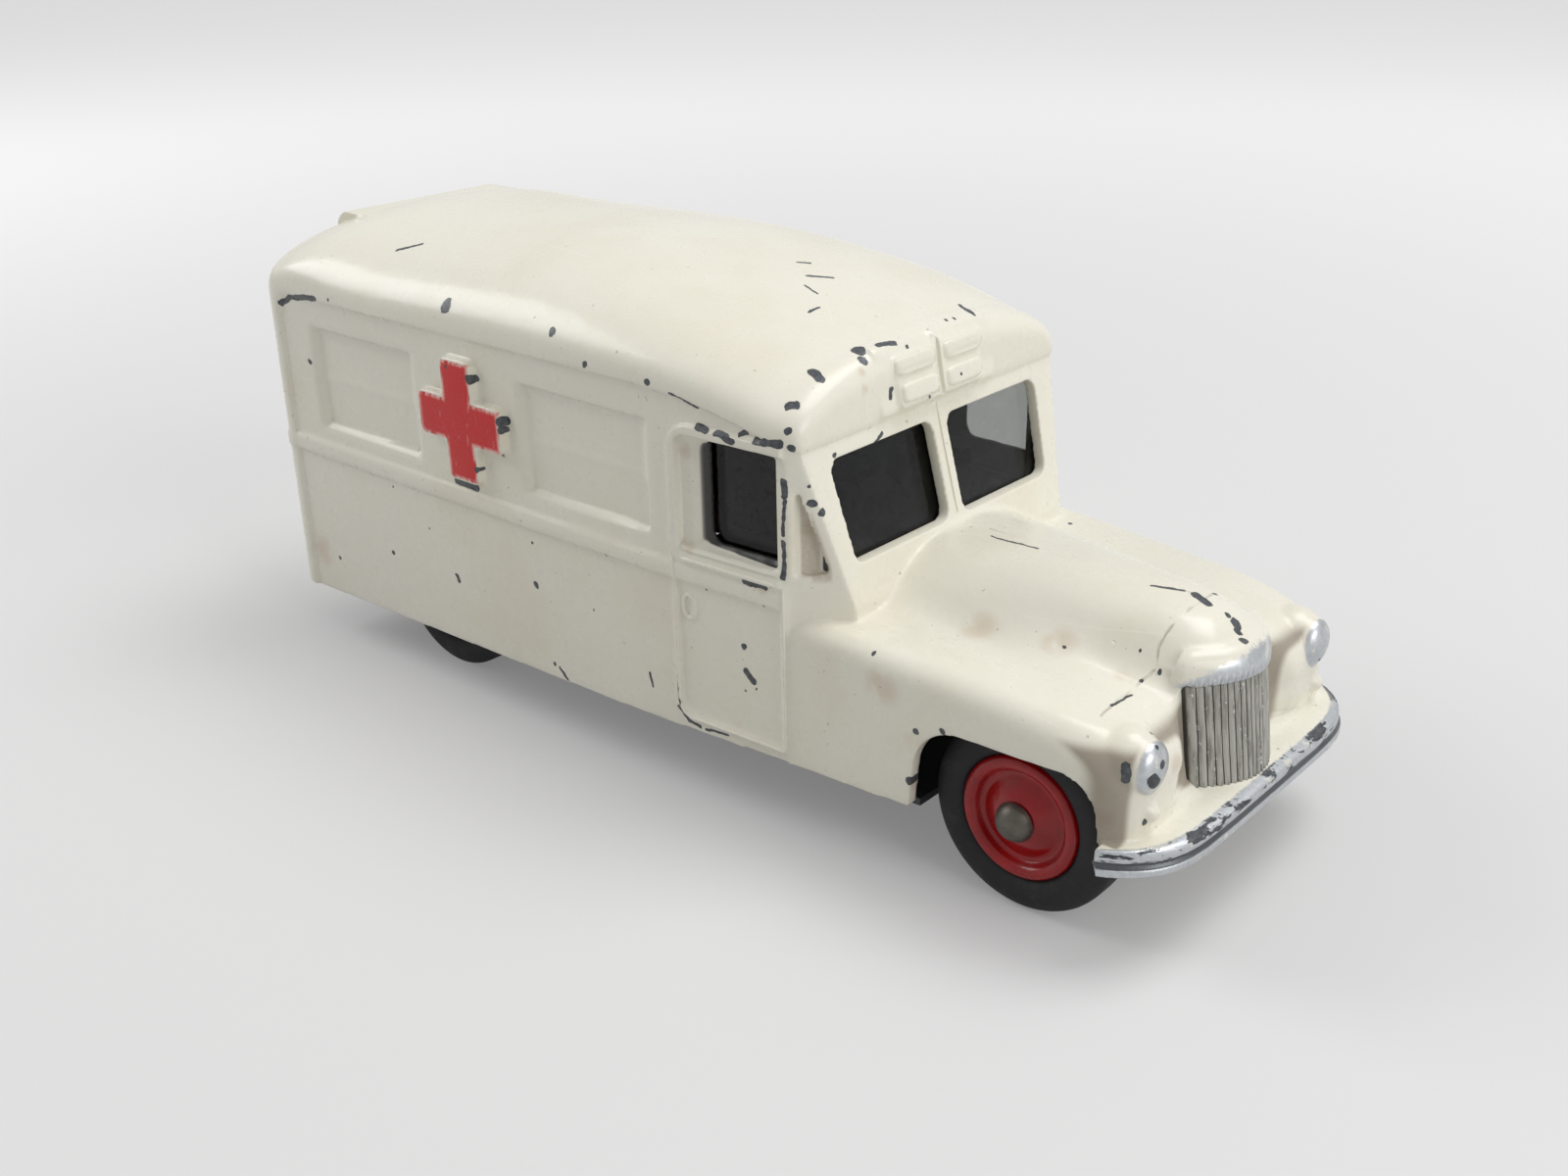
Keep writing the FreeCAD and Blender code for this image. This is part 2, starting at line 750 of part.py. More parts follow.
def rear_details():
    """Header board over the rear doors and the two doors' raised outlines and handle."""
    rear = mm.van_rear
    sides = rectangle(rear, rear + mm.rear_board_depth, mm.gutter_height, mm.rear_board_height)
    half = mm.rear_board_half_width
    board = side_prism(sides, [0, 0, 0, mm.rear_corner], -half, half)
    line = mm.door_line
    inside = rear + mm.wall / 2
    outside = rear - mm.bead_relief
    door = (line / 2, mm.rear_door_half_width, mm.rear_door_foot, mm.rear_door_head)
    ring = front_prism(rectangle(*door), mm.pane_corner, outside, inside)
    ring = ring.cut(front_prism(drawn_in(*door, line), mm.pane_corner / 2, REAR, FRONT))
    level = mm.waist_height
    waist = rectangle(line, mm.rear_door_half_width - line / 2, level - line, level + line)
    band = front_prism(waist, 0, outside, inside)
    start = mm.rear_panel_margin
    level = mm.handle_height
    knob = rectangle(start, start + mm.rear_handle_length, level - line, level + line)
    handle = front_prism(knob, line / 2, REAR, inside)
    return [board, handle] + both_sides(ring) + both_sides(band)


def rear_panels():
    """Shallow recesses for the windows of the rear doors."""
    margin = mm.rear_panel_margin
    outline = rectangle(margin, mm.rear_door_half_width - margin, mm.panel_low,
                        mm.rear_door_head - margin)
    return both_sides(front_prism(outline, mm.pane_corner, REAR, mm.van_rear + mm.panel_depth / 2))


def bumper_prism(inset, low, high):
    """Solid whose plan is the bumper's swept front, drawn in by an inset."""
    half = mm.bumper_half_width - inset
    front = FRONT - inset
    row = [at(front - mm.bumper_sweep * back, half * across, low) for across, back in BUMPER_SHARES]
    points = [at(p.x, -p.y, p.z) for p in row[:0:-1]] + row
    curve = Part.BSplineCurve()
    curve.interpolate(points)
    wire = Part.Wire([curve.toShape(), Part.makeLine(points[-1], points[0])])
    return Part.Face(wire).extrude(at(0, 0, high - low))


def front_shelf():
    """Apron between the grille's foot and the bumper, sloping down at its front edge."""
    block = bumper_prism(mm.shelf_relief, mm.bumper_low + mm.bumper_groove, mm.shelf_height)
    below = side_prism([(mm.nose_start, 0), (FRONT, 0), (FRONT, BUMPER_TOP),
                        (mm.shelf_slope, mm.shelf_height), (mm.nose_start, mm.shelf_height)],
                       0, -FAR, FAR)
    return block.common(below)


def bumper():
    """Two bars with a groove between them, the upper one a little behind."""
    lower = mm.bumper_low + mm.bumper_bar
    upper = lower + mm.bumper_groove
    return [bumper_prism(0, mm.bumper_low, lower),
            bumper_prism(mm.bumper_relief, lower, upper),
            bumper_prism(mm.bumper_relief / 2, upper, BUMPER_TOP)]


def grille_ribs():
    """Convex column of upright ribs and grooves that leans back as it rises."""
    half = mm.grille_half_width
    low = mm.grille_low - mm.wall
    high = mm.grille_high + mm.wall
    face = mm.grille_face + mm.wall * GRILLE_LEAN
    count = RIB_COUNT * 2
    plan = []
    for step in range(count + 1):
        y = half * (2 * step / count - 1)
        notch = mm.grille_rib_depth * ((step + 1) % 2)
        plan.append(at(face - GRILLE_BEND * y * y - notch, y, low))
    plan += [at(mm.grille_back, half, low), at(mm.grille_back, -half, low)]
    rise = high - low
    return Part.Face(Part.makePolygon(plan + plan[:1])).extrude(at(-rise * GRILLE_LEAN, 0, rise))


def grille_room():
    """Recess of the nose that the grille stands in, with upright cheeks."""
    half = mm.grille_half_width
    height = mm.grille_high - mm.grille_low
    return Part.makeBox(FRONT - mm.grille_back, half * 2, height,
                        at(mm.grille_back, -half, mm.grille_low))


def lip_plan(z, inset):
    """Outline of the lip at one height: the grille's curve in front and straight behind."""
    half = mm.grille_half_width + mm.lip_margin - inset
    front = mm.grille_face - mm.grille_lean + mm.lip_relief - inset
    across = [half * (2 * step / PLAN_STEPS - 1) for step in range(PLAN_STEPS + 1)]
    points = [at(front - GRILLE_BEND * y * y, y, z) for y in across]
    curve = Part.BSplineCurve()
    curve.interpolate(points)
    inside = mm.grille_back - mm.wall / 4
    back = [at(inside, half, z), at(inside, -half, z)]
    return Part.Wire([curve.toShape(), Part.makeLine(points[-1], back[0]),
                      Part.makeLine(*back), Part.makeLine(back[1], points[0])])


def grille_lip():
    """Bonnet's lip over the grille, which follows its curve and rolls back over the top."""
    start = mm.grille_high + mm.lip_height - mm.lip_roll
    sections = [lip_plan(mm.grille_high, 0)]
    for step in range(END_STEPS + 1):
        turn = math.pi / 2 * step / END_STEPS
        z = start + mm.lip_roll * math.sin(turn)
        sections.append(lip_plan(z, mm.lip_roll * (1 - math.cos(turn))))
    straight = Part.makeLoft(sections[:2], True, True)
    return straight.fuse(Part.makeLoft(sections[1:], True, False))


def front_arches():
    """Tools for the front wheel openings through each side."""
    lean = mm.arch_lean
    top = mm.arch_height
    sill = mm.sill_front_height
    outline = [(mm.arch_rear, 0), (mm.arch_front + lean / 2, 0), (mm.arch_front + lean / 2, sill),
               (mm.arch_front - lean, top), (mm.arch_rear + lean, top), (mm.arch_rear, sill)]
    radii = [0, 0, 0, mm.arch_radius * 3 / 4, mm.arch_radius, 0]
    return both_sides(side_prism(outline, radii, MIDDLE, FAR))


def sill_tool():
    """What lies below the body's lower edge."""
    rise = mm.sill_corner * 4
    rear = mm.van_rear
    outline = [(-FAR, -FAR), (FAR, -FAR), (FAR, mm.sill_front_height),
               (mm.arch_rear, mm.sill_front_height), (rear, sill_line(rear)),
               (rear, rise), (-FAR, rise)]
    return side_prism(outline, [0, 0, 0, 0, mm.sill_corner, 0, 0], -FAR, FAR)


def hollow():
    """The room inside the van, the cab and the nose."""
    van = cab_form(CAVITY, mm.wall, mm.van_rear + mm.wall)
    length = mm.grille_back - mm.wall / 2 - mm.nose_start
    room = Part.makeBox(length, FAR, FAR, at(mm.nose_start, -FAR / 2, 0))
    return van.fuse(nose_form(mm.wall, True).common(room))


def casting_shell():
    """The casting without the features that stand on the sheet as primitives of their own."""
    body = skin(0).fuse([roof_form(), nose_form(0)])
    body = body.cut([sill_tool(), grille_room()] + window_recesses())
    body = body.fuse([grille_ribs(), grille_lip(), front_shelf()] + headboard() + rear_details())
    body = body.fuse(side_reliefs())
    body = body.cut([hollow()] + window_openings() + front_arches() + rear_panels())
    return body.fuse(bumper())


# Primitives and sketched bodies tied to the sheet

SIDES = (("right", -1), ("left", 1))


def sphere(label, radius, x, y, z):
    ball = doc.addObject("Part::Sphere", label)
    bind(ball, Radius=radius)
    place(ball, x, y, z)
    return ball


def ellipsoid(label, depth, width, height, x, y, z):
    """Ellipsoid with its half sizes along X, Y and Z."""
    lens = doc.addObject("Part::Ellipsoid", label)
    bind(lens, Radius1=height, Radius2=depth, Radius3=width)
    place(lens, x, y, z)
    return lens


def cone(label, low_radius, high_radius, height, x, y, z):
    head = doc.addObject("Part::Cone", label)
    bind(head, Radius1=low_radius, Radius2=high_radius, Height=height)
    place(head, x, y, z)
    return head


def lamps():
    """Headlamps with their pods and the small side lamps below them."""
    made = []
    height = cell.lamp_height
    radius = cell.lamp_radius
    for side, sign in SIDES:
        y = cell.lamp_centre * sign
        made.append(sphere(f"lamp_pod_{side}", cell.lamp_pod, cell.lamp_pod_place, y, height))
        made.append(ellipsoid(f"lamp_{side}", cell.lamp_dome, radius, radius,
                              cell.lamp_place, y, height))
        made.append(sphere(f"side_lamp_{side}", cell.side_lamp_radius, cell.side_lamp_place,
                           cell.side_lamp_centre * sign, cell.side_lamp_height))
    return made


def handles():
    made = []
    for side, sign in SIDES:
        y = (cell.side_half_width - cell.handle_relief / 3) * sign
        made.append(ellipsoid(f"handle_{side}", cell.handle_wide, cell.handle_relief,
                              cell.handle_long, cell.handle_place, y, cell.handle_height))
    return made


def pillars():
    """Posts that the base is riveted to, with their peened heads, and the glazing's stud."""
    made = []
    under = cell.base_height - cell.rivet_head
    base_top = cell.base_height + cell.base_thickness
    rear_top = base_top + cell.pillar_rear_rise
    front_top = cell.bonnet_height * PILLAR_TOP_SHARE
    for name, x, top in (("rear", cell.pillar_rear, rear_top), ("front", cell.pillar_front, front_top)):
        made.append(cylinder(f"pillar_{name}", cell.pillar_radius, top - base_top, x, ORIGIN, base_top))
        made.append(cylinder(f"shank_{name}", cell.rivet_radius, top - under, x, ORIGIN, under))
        made.append(cone(f"rivet_{name}", cell.rivet_radius, cell.rivet_head_radius, cell.rivet_head,
                         x, ORIGIN, under))
    web = cell.pillar_web / 2
    rear_wall = cell.van_rear + cell.wall / 2
    made.append(box("pillar_web", (rear_wall, -web, base_top + cell.wall),
                    (cell.pillar_rear, web, rear_top)))
    tab_top = cell.glazing_roof + cell.glazing_thickness
    low = cell.glazing_roof - cell.stud_head
    x = cell.stud_place
    made.append(cylinder("stud_shoulder", cell.stud_shoulder, cell.stud_top - tab_top, x, ORIGIN, tab_top))
    made.append(cylinder("stud_pin", cell.stud_radius, cell.stud_top - low, x, ORIGIN, low))
    made.append(cone("stud_head", cell.stud_radius, cell.stud_head_radius, cell.stud_head, x, ORIGIN, low))
    return made


def panel_tool(label, x, sign):
    """Tapered block that sinks one panel into the side, its floor parallel to the side."""
    wedge = doc.addObject("Part::Wedge", label)
    length = cell.panel_length
    height = cell.panel_high - cell.panel_low
    slope = cell.panel_slope
    depth = cell.panel_depth
    grow = slope * (cell.overrun + depth) / depth - slope
    bind(wedge, Xmin=-grow, Xmax=length + grow, Zmin=-grow * 2, Zmax=height + grow,
         Ymin=ORIGIN, Ymax=depth + cell.overrun,
         X2min=slope, X2max=length - slope, Z2min=slope * 2, Z2max=height - slope)
    face = (cell.side_half_width + cell.overrun) * sign
    if sign > 0:
        place(wedge, x + length, face, cell.panel_low, at(0, 0, 1), 180)
    else:
        place(wedge, x, face, cell.panel_low)
    return wedge


def side_panels():
    """Two sunk panels on each side and the thin rail across each."""
    tools = []
    rails = []
    slope = cell.panel_slope / 2
    for side, sign in SIDES:
        low = (cell.side_half_width - cell.panel_depth) * sign - cell.panel_rail / 4
        for end, x in (("rear", cell.panel_rear), ("front", cell.panel_front)):
            tools.append(panel_tool(f"panel_{end}_{side}", x, sign))
            rails.append(box(f"rail_{end}_{side}",
                             (x + slope, low, cell.panel_rail_height),
                             (x + cell.panel_length - slope, low + cell.panel_rail / 2,
                              cell.panel_rail_height + cell.panel_rail)))
    return tools, rails


def wheel_rooms():
    """Cylinders that keep the front wheels clear of the wings."""
    rooms = []
    radius = cell.wheel_radius + cell.wheel_gap
    width = cell.tyre_width + cell.wheel_gap * 2
    for side, sign in SIDES:
        rooms.append(cylinder(f"wheel_room_{side}", radius, width, cell.front_axle,
                              cell.front_track * (sign / 2) + width / 2, cell.wheel_radius, at(1, 0, 0), 90))
    return rooms


def make_body_casting():
    """Body casting: shell, lamps, handles and posts, less panels and wheel rooms."""
    shell = feature("casting_shell", casting_shell())
    solid = fuse("casting_solid", [shell] + lamps() + handles() + pillars())
    tools, rails = side_panels()
    rest = cut("casting_rest", solid, fuse("casting_tools", tools + wheel_rooms()))
    return fuse("body_casting", [rest] + rails)


def make_glazing():
    """Clear moulding behind the windscreen and door windows, hung on the roof stud."""
    gap = mm.glazing_gap
    thick = mm.glazing_thickness
    outer = cab_form(CAVITY + gap, mm.wall + gap, mm.van_rear + mm.rear_post)
    inner = cab_form(CAVITY + gap + thick, mm.wall + gap + thick, mm.van_rear + mm.rear_post / 2)
    height = mm.glazing_roof + thick - mm.glazing_low
    room = Part.makeBox(FAR, FAR, height, at(mm.glazing_rear, -FAR / 2, mm.glazing_low))
    pane = feature("glazing_panes", outer.cut(inner).common(room))
    half = cell.glazing_tab
    top = cell.glazing_roof + cell.glazing_thickness
    front = cell.screen_head - cell.wall - cell.glazing_gap - cell.glazing_thickness / 2
    tab = box("glazing_tab", (cell.glazing_rear, -half, cell.glazing_roof), (front, half, top))
    hole = cylinder("glazing_hole", cell.stud_radius + cell.rivet_clearance,
                    cell.glazing_thickness + cell.overrun * 2,
                    cell.stud_place, ORIGIN, cell.glazing_roof - cell.overrun)
    return cut("glazing", fuse("glazing_whole", [pane, tab]), hole)


def make_body(label, x, y, z, turn=0):
    """Empty body of a sub-part, set at its place from the sheet."""
    body = doc.addObject("PartDesign::Body", label)
    place(body, x, y, z, at(0, 0, 1), turn)
    return body


def pin_down(sketch, geometry, end, axis, size):
    """Fix one coordinate of a sketch point to the sheet."""
    if size.value == 0:
        sketch.addConstraint(Sketcher.Constraint("PointOnObject", geometry, end, -2 if axis == "X" else -1))
        return
    ends = (-1, 1, geometry, end) if size.value > 0 else (geometry, end, -1, 1)
    index = sketch.addConstraint(Sketcher.Constraint(f"Distance{axis}", *ends, abs(size.value)))
    text = size.text if size.value > 0 else f"0 - {size.text}"
    sketch.setExpression(f"Constraints[{index}]", text)


def closed_sketch(body, role, outline, label):
    """Sketch on one of the body's own planes; a third entry is the radius of an arc."""
    plane = [thing for thing in body.Origin.OriginFeatures if thing.Role == role][0]
    sketch = body.newObject("Sketcher::SketchObject", label)
    sketch.AttachmentSupport = [(plane, "")]
    sketch.MapMode = "FlatFace"
    points = [(as_size(item[0]), as_size(item[1])) for item in outline]
    flat = [at(x.value, y.value, 0) for x, y in points]
    ends = []
    count = len(points)
    for index, item in enumerate(outline):
        start, stop = flat[index], flat[(index + 1) % count]
        if len(item) == 2:
            ends.append((sketch.addGeometry(Part.LineSegment(start, stop)), 1, 2))
            continue
        half = start.distanceToPoint(stop) / 2
        radius = as_size(item[2]).value
        across = (stop - start).cross(at(0, 0, 1)).normalize()
        rise = radius - math.sqrt(radius ** 2 - half ** 2)
        arc = Part.Arc(start, (start + stop) / 2 + across * rise, stop)
        geometry = sketch.addGeometry(arc)
        straight = sketch.getPoint(geometry, 1).distanceToPoint(start) < half
        ends.append((geometry, 1, 2) if straight else (geometry, 2, 1))
        bend = sketch.addConstraint(Sketcher.Constraint("Radius", geometry, radius))
        sketch.setExpression(f"Constraints[{bend}]", as_size(item[2]).text)
    for index in range(count):
        geometry, first, last = ends[index]
        following, entry, _ = ends[(index + 1) % count]
        sketch.addConstraint(Sketcher.Constraint("Coincident", geometry, last, following, entry))
        pin_down(sketch, geometry, first, "X", points[index][0])
        pin_down(sketch, geometry, first, "Y", points[index][1])
    return sketch


def revolved_body(label, outline, x, y, z, turn=0):
    """Turned part: a profile of radii and heights spun about the body's own Y axis."""
    body = make_body(label, x, y, z, turn)
    sketch = closed_sketch(body, "XY_Plane", outline, f"{label}_profile")
    spin = body.newObject("PartDesign::Revolution", f"{label}_turned")
    spin.Profile = sketch
    spin.ReferenceAxis = (sketch, ["V_Axis"])
    spin.Angle = 360
    sketch.Visibility = False
    body.Tip = spin
    return body


def hub_top():
    """Height of the hub's boss over the wheel's middle plane."""
    return cell.seat_height + cell.rim_thickness + cell.boss_rise


def hub_outline():
    bore = cell.axle_radius + cell.axle_clearance
    rim = cell.rim_radius
    lip = cell.rim_lip
    top = cell.seat_height + cell.rim_thickness
    floor = top - cell.dish_depth
    roll = cell.rim_thickness / 3
    groove = rim - lip - cell.rim_groove
    return [(bore, -cell.hub_back), (cell.seat_radius, -cell.hub_back),
            (cell.seat_radius, cell.seat_height), (rim, cell.seat_height),
            (rim, top - roll), (rim - lip / 4, top), (rim - lip * (3 / 4), top), (rim - lip, top - roll),
            (rim - lip - cell.rim_groove / 4, floor), (groove, floor),
            (cell.boss_radius, hub_top()), (bore, hub_top())]


def tyre_outline():
    half = cell.tyre_width / 2
    shoulder = cell.wheel_radius - cell.tyre_shoulder
    tread = cell.tread_width / 2
    grip = cell.seat_height + cell.rim_thickness / 2
    belly = (cell.rim_radius + shoulder) / 2
    return [(cell.seat_radius, -cell.hub_back), (cell.seat_radius, cell.seat_height),
            (cell.rim_radius, cell.seat_height), (cell.rim_radius, grip),
            (belly, half), (shoulder, half - cell.wall / 5),
            (cell.wheel_radius, tread), (cell.wheel_radius, -tread),
            (shoulder, cell.wall / 5 - half), (belly, -half)]


def axle_outline(track):
    """Axle with a domed head outside each wheel."""
    under = track / 2 + hub_top() + cell.head_gap
    top = under + cell.axle_head
    rim = cell.axle_head_radius
    bend = (rim * rim + cell.axle_head * cell.axle_head) / (cell.axle_head * 2)
    return [(ORIGIN, -top, bend), (rim, -under), (cell.axle_radius, -under),
            (cell.axle_radius, under), (rim, under, bend), (ORIGIN, top)]


def make_rolling_gear():
    """Two axles and four wheels, each wheel a hub and its tyre."""
    pieces = []
    for end, x, track in (("front", cell.front_axle, cell.front_track),
                          ("rear", cell.rear_axle, cell.rear_track)):
        pieces.append(revolved_body(f"{end}_axle", axle_outline(track), x, ORIGIN, cell.wheel_radius))
        for side, sign in SIDES:
            turn = 0 if sign > 0 else 180
            y = track * (sign / 2)
            pieces.append(revolved_body(f"{end}_{side}_hub", hub_outline(), x, y, cell.wheel_radius, turn))
            pieces.append(revolved_body(f"{end}_{side}_tyre", tyre_outline(), x, y, cell.wheel_radius, turn))
    return pieces


def base_outline():
    """Plan of the base plate: full width between the axles, narrow between the wheels."""
    gap = cell.base_gap
    room = cell.wheel_radius + cell.wheel_gap
    wide = cell.side_half_width - cell.wall - gap
    middle = cell.nose_half_width - cell.wall - gap * 2
    rear_in = cell.rear_track / 2 - cell.tyre_width / 2 - cell.wheel_gap
    front_in = cell.front_track / 2 - cell.tyre_width / 2 - cell.wheel_gap
    back = cell.van_rear + cell.wall + gap
    front = cell.grille_back - cell.wall / 2 - gap
    left = [(back, wide), (cell.rear_axle - room, wide), (cell.rear_axle - room, rear_in),
            (cell.rear_axle + room, rear_in), (cell.rear_axle + room, wide),
            (cell.door_rear, wide), (cell.nose_start, middle),
            (cell.front_axle - room, middle - cell.wall / 2),
            (cell.front_axle - room, front_in), (front, front_in)]
    right = [(x, -y) for x, y in reversed(left)]
    return left + right


def make_base_plate():
    """Tin base: pressed rest, upturned axle lugs, axle holes and rivet holes."""
    body = make_body("base_plate", ORIGIN, ORIGIN, cell.base_height)
    thick = cell.base_thickness
    plate = body.newObject("PartDesign::Pad", "plate")
    plate.Profile = closed_sketch(body, "XY_Plane", base_outline(), "base_plan")
    bind(plate, Length=thick)
    axle = cell.wheel_radius - cell.base_height
    for end, x, track in (("front", cell.front_axle, cell.front_track),
                          ("rear", cell.rear_axle, cell.rear_track)):
        edge = track / 2 - cell.tyre_width / 2 - cell.wheel_gap
        for side, sign in SIDES:
            y = edge * sign - thick * ((1 + sign) / 2)
            lug = body.newObject("PartDesign::AdditiveBox", f"lug_{end}_{side}")
            bind(lug, Length=cell.lug_width, Width=thick, Height=axle + cell.lug_rise)
            place(lug, x - cell.lug_width / 2, y, ORIGIN)
        drill = body.newObject("PartDesign::SubtractiveCylinder", f"axle_hole_{end}")
        bind(drill, Radius=cell.axle_radius + cell.axle_clearance, Height=track)
        place(drill, x, track / 2, axle, at(1, 0, 0), 90)
    rest_x = cell.rear_axle + cell.rest_rear_gap
    rest_length = cell.front_axle - cell.rest_front_gap - rest_x
    depth = cell.rest_depth
    rest = body.newObject("PartDesign::AdditiveBox", "rest")
    bind(rest, Length=rest_length, Width=cell.rest_width, Height=depth)
    place(rest, rest_x, -cell.rest_width / 2, -depth)
    pan = body.newObject("PartDesign::SubtractiveBox", "rest_hollow")
    bind(pan, Length=rest_length - thick * 2, Width=cell.rest_width - thick * 2, Height=depth)
    place(pan, rest_x + thick, thick - cell.rest_width / 2, thick - depth)
    hole = None
    for end, x in (("rear", cell.pillar_rear), ("front", cell.pillar_front)):
        hole = body.newObject("PartDesign::SubtractiveCylinder", f"rivet_hole_{end}")
        bind(hole, Radius=cell.rivet_radius + cell.rivet_clearance, Height=thick + cell.overrun * 2)
        place(hole, x, ORIGIN, -cell.overrun)
    body.Tip = hole
    return body


def export(pieces):
    """Check every object of the document, then write one file for each sub-part."""
    doc.recompute()
    for thing in doc.Objects:
        faults = [state for state in thing.State if state in ("Invalid", "Error")]
        if faults:
            raise RuntimeError(f"{thing.Label}: {faults}")
        shape = getattr(thing, "Shape", None)
        if shape is not None and thing.TypeId.startswith(("Part::", "PartDesign::Body")):
            if shape.isNull() or not shape.isValid():
                raise RuntimeError(f"{thing.Label}: its shape is not valid")
    os.makedirs("parts", exist_ok=True)
    for piece in pieces:
        solids = piece.Shape.Solids
        if len(solids) != 1:
            raise RuntimeError(f"{piece.Label}: {len(solids)} solids")
        piece.Shape.exportStep(f"parts/{piece.Label}.step")
        print(piece.Label, round(piece.Shape.Volume, 1), len(piece.Shape.Faces))


if __name__ == "__main__":
    export([make_body_casting(), make_glazing(), make_base_plate()] + make_rolling_gear())
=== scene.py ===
import logging
import math
from collections.abc import Callable
from dataclasses import dataclass, field
from enum import Enum

import bmesh
import bpy
import numpy as np
from bpy.types import Material, Mesh, Node, NodeSocket, Object, Scene, World
from mathutils import Matrix, Vector, noise
from mathutils.bvhtree import BVHTree


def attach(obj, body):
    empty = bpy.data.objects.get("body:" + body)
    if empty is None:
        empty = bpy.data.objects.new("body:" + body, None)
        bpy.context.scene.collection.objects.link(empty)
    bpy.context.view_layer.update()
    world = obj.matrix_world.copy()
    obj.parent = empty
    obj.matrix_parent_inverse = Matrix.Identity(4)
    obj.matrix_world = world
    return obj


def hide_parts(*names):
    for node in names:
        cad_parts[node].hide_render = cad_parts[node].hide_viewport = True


# Finishes and fine forms of a die-cast toy ambulance. Lengths are in millimetres inside the
# classes and in metres in Blender: MM turns one into the other.

MM = 0.001
TINY = 1e-9
# The grille's face: half its width, its foot, and how far it leans back for each millimetre up.
GRILLE_HALF_WIDTH = 5.3
GRILLE_LOW = 9.25
GRILLE_LEAN = 0.136
LOG = logging.getLogger("toy_ambulance")
Pair = tuple[float, float]
Triple = tuple[float, float, float]
Colour = Triple
Zone = tuple[tuple[str, float, float], ...]
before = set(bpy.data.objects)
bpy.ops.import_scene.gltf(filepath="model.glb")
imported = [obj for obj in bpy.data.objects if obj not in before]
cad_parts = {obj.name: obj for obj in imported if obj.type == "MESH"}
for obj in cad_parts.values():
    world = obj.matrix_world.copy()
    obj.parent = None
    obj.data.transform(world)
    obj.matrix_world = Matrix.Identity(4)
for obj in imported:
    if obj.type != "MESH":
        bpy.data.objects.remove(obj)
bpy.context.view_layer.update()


# Shader maths


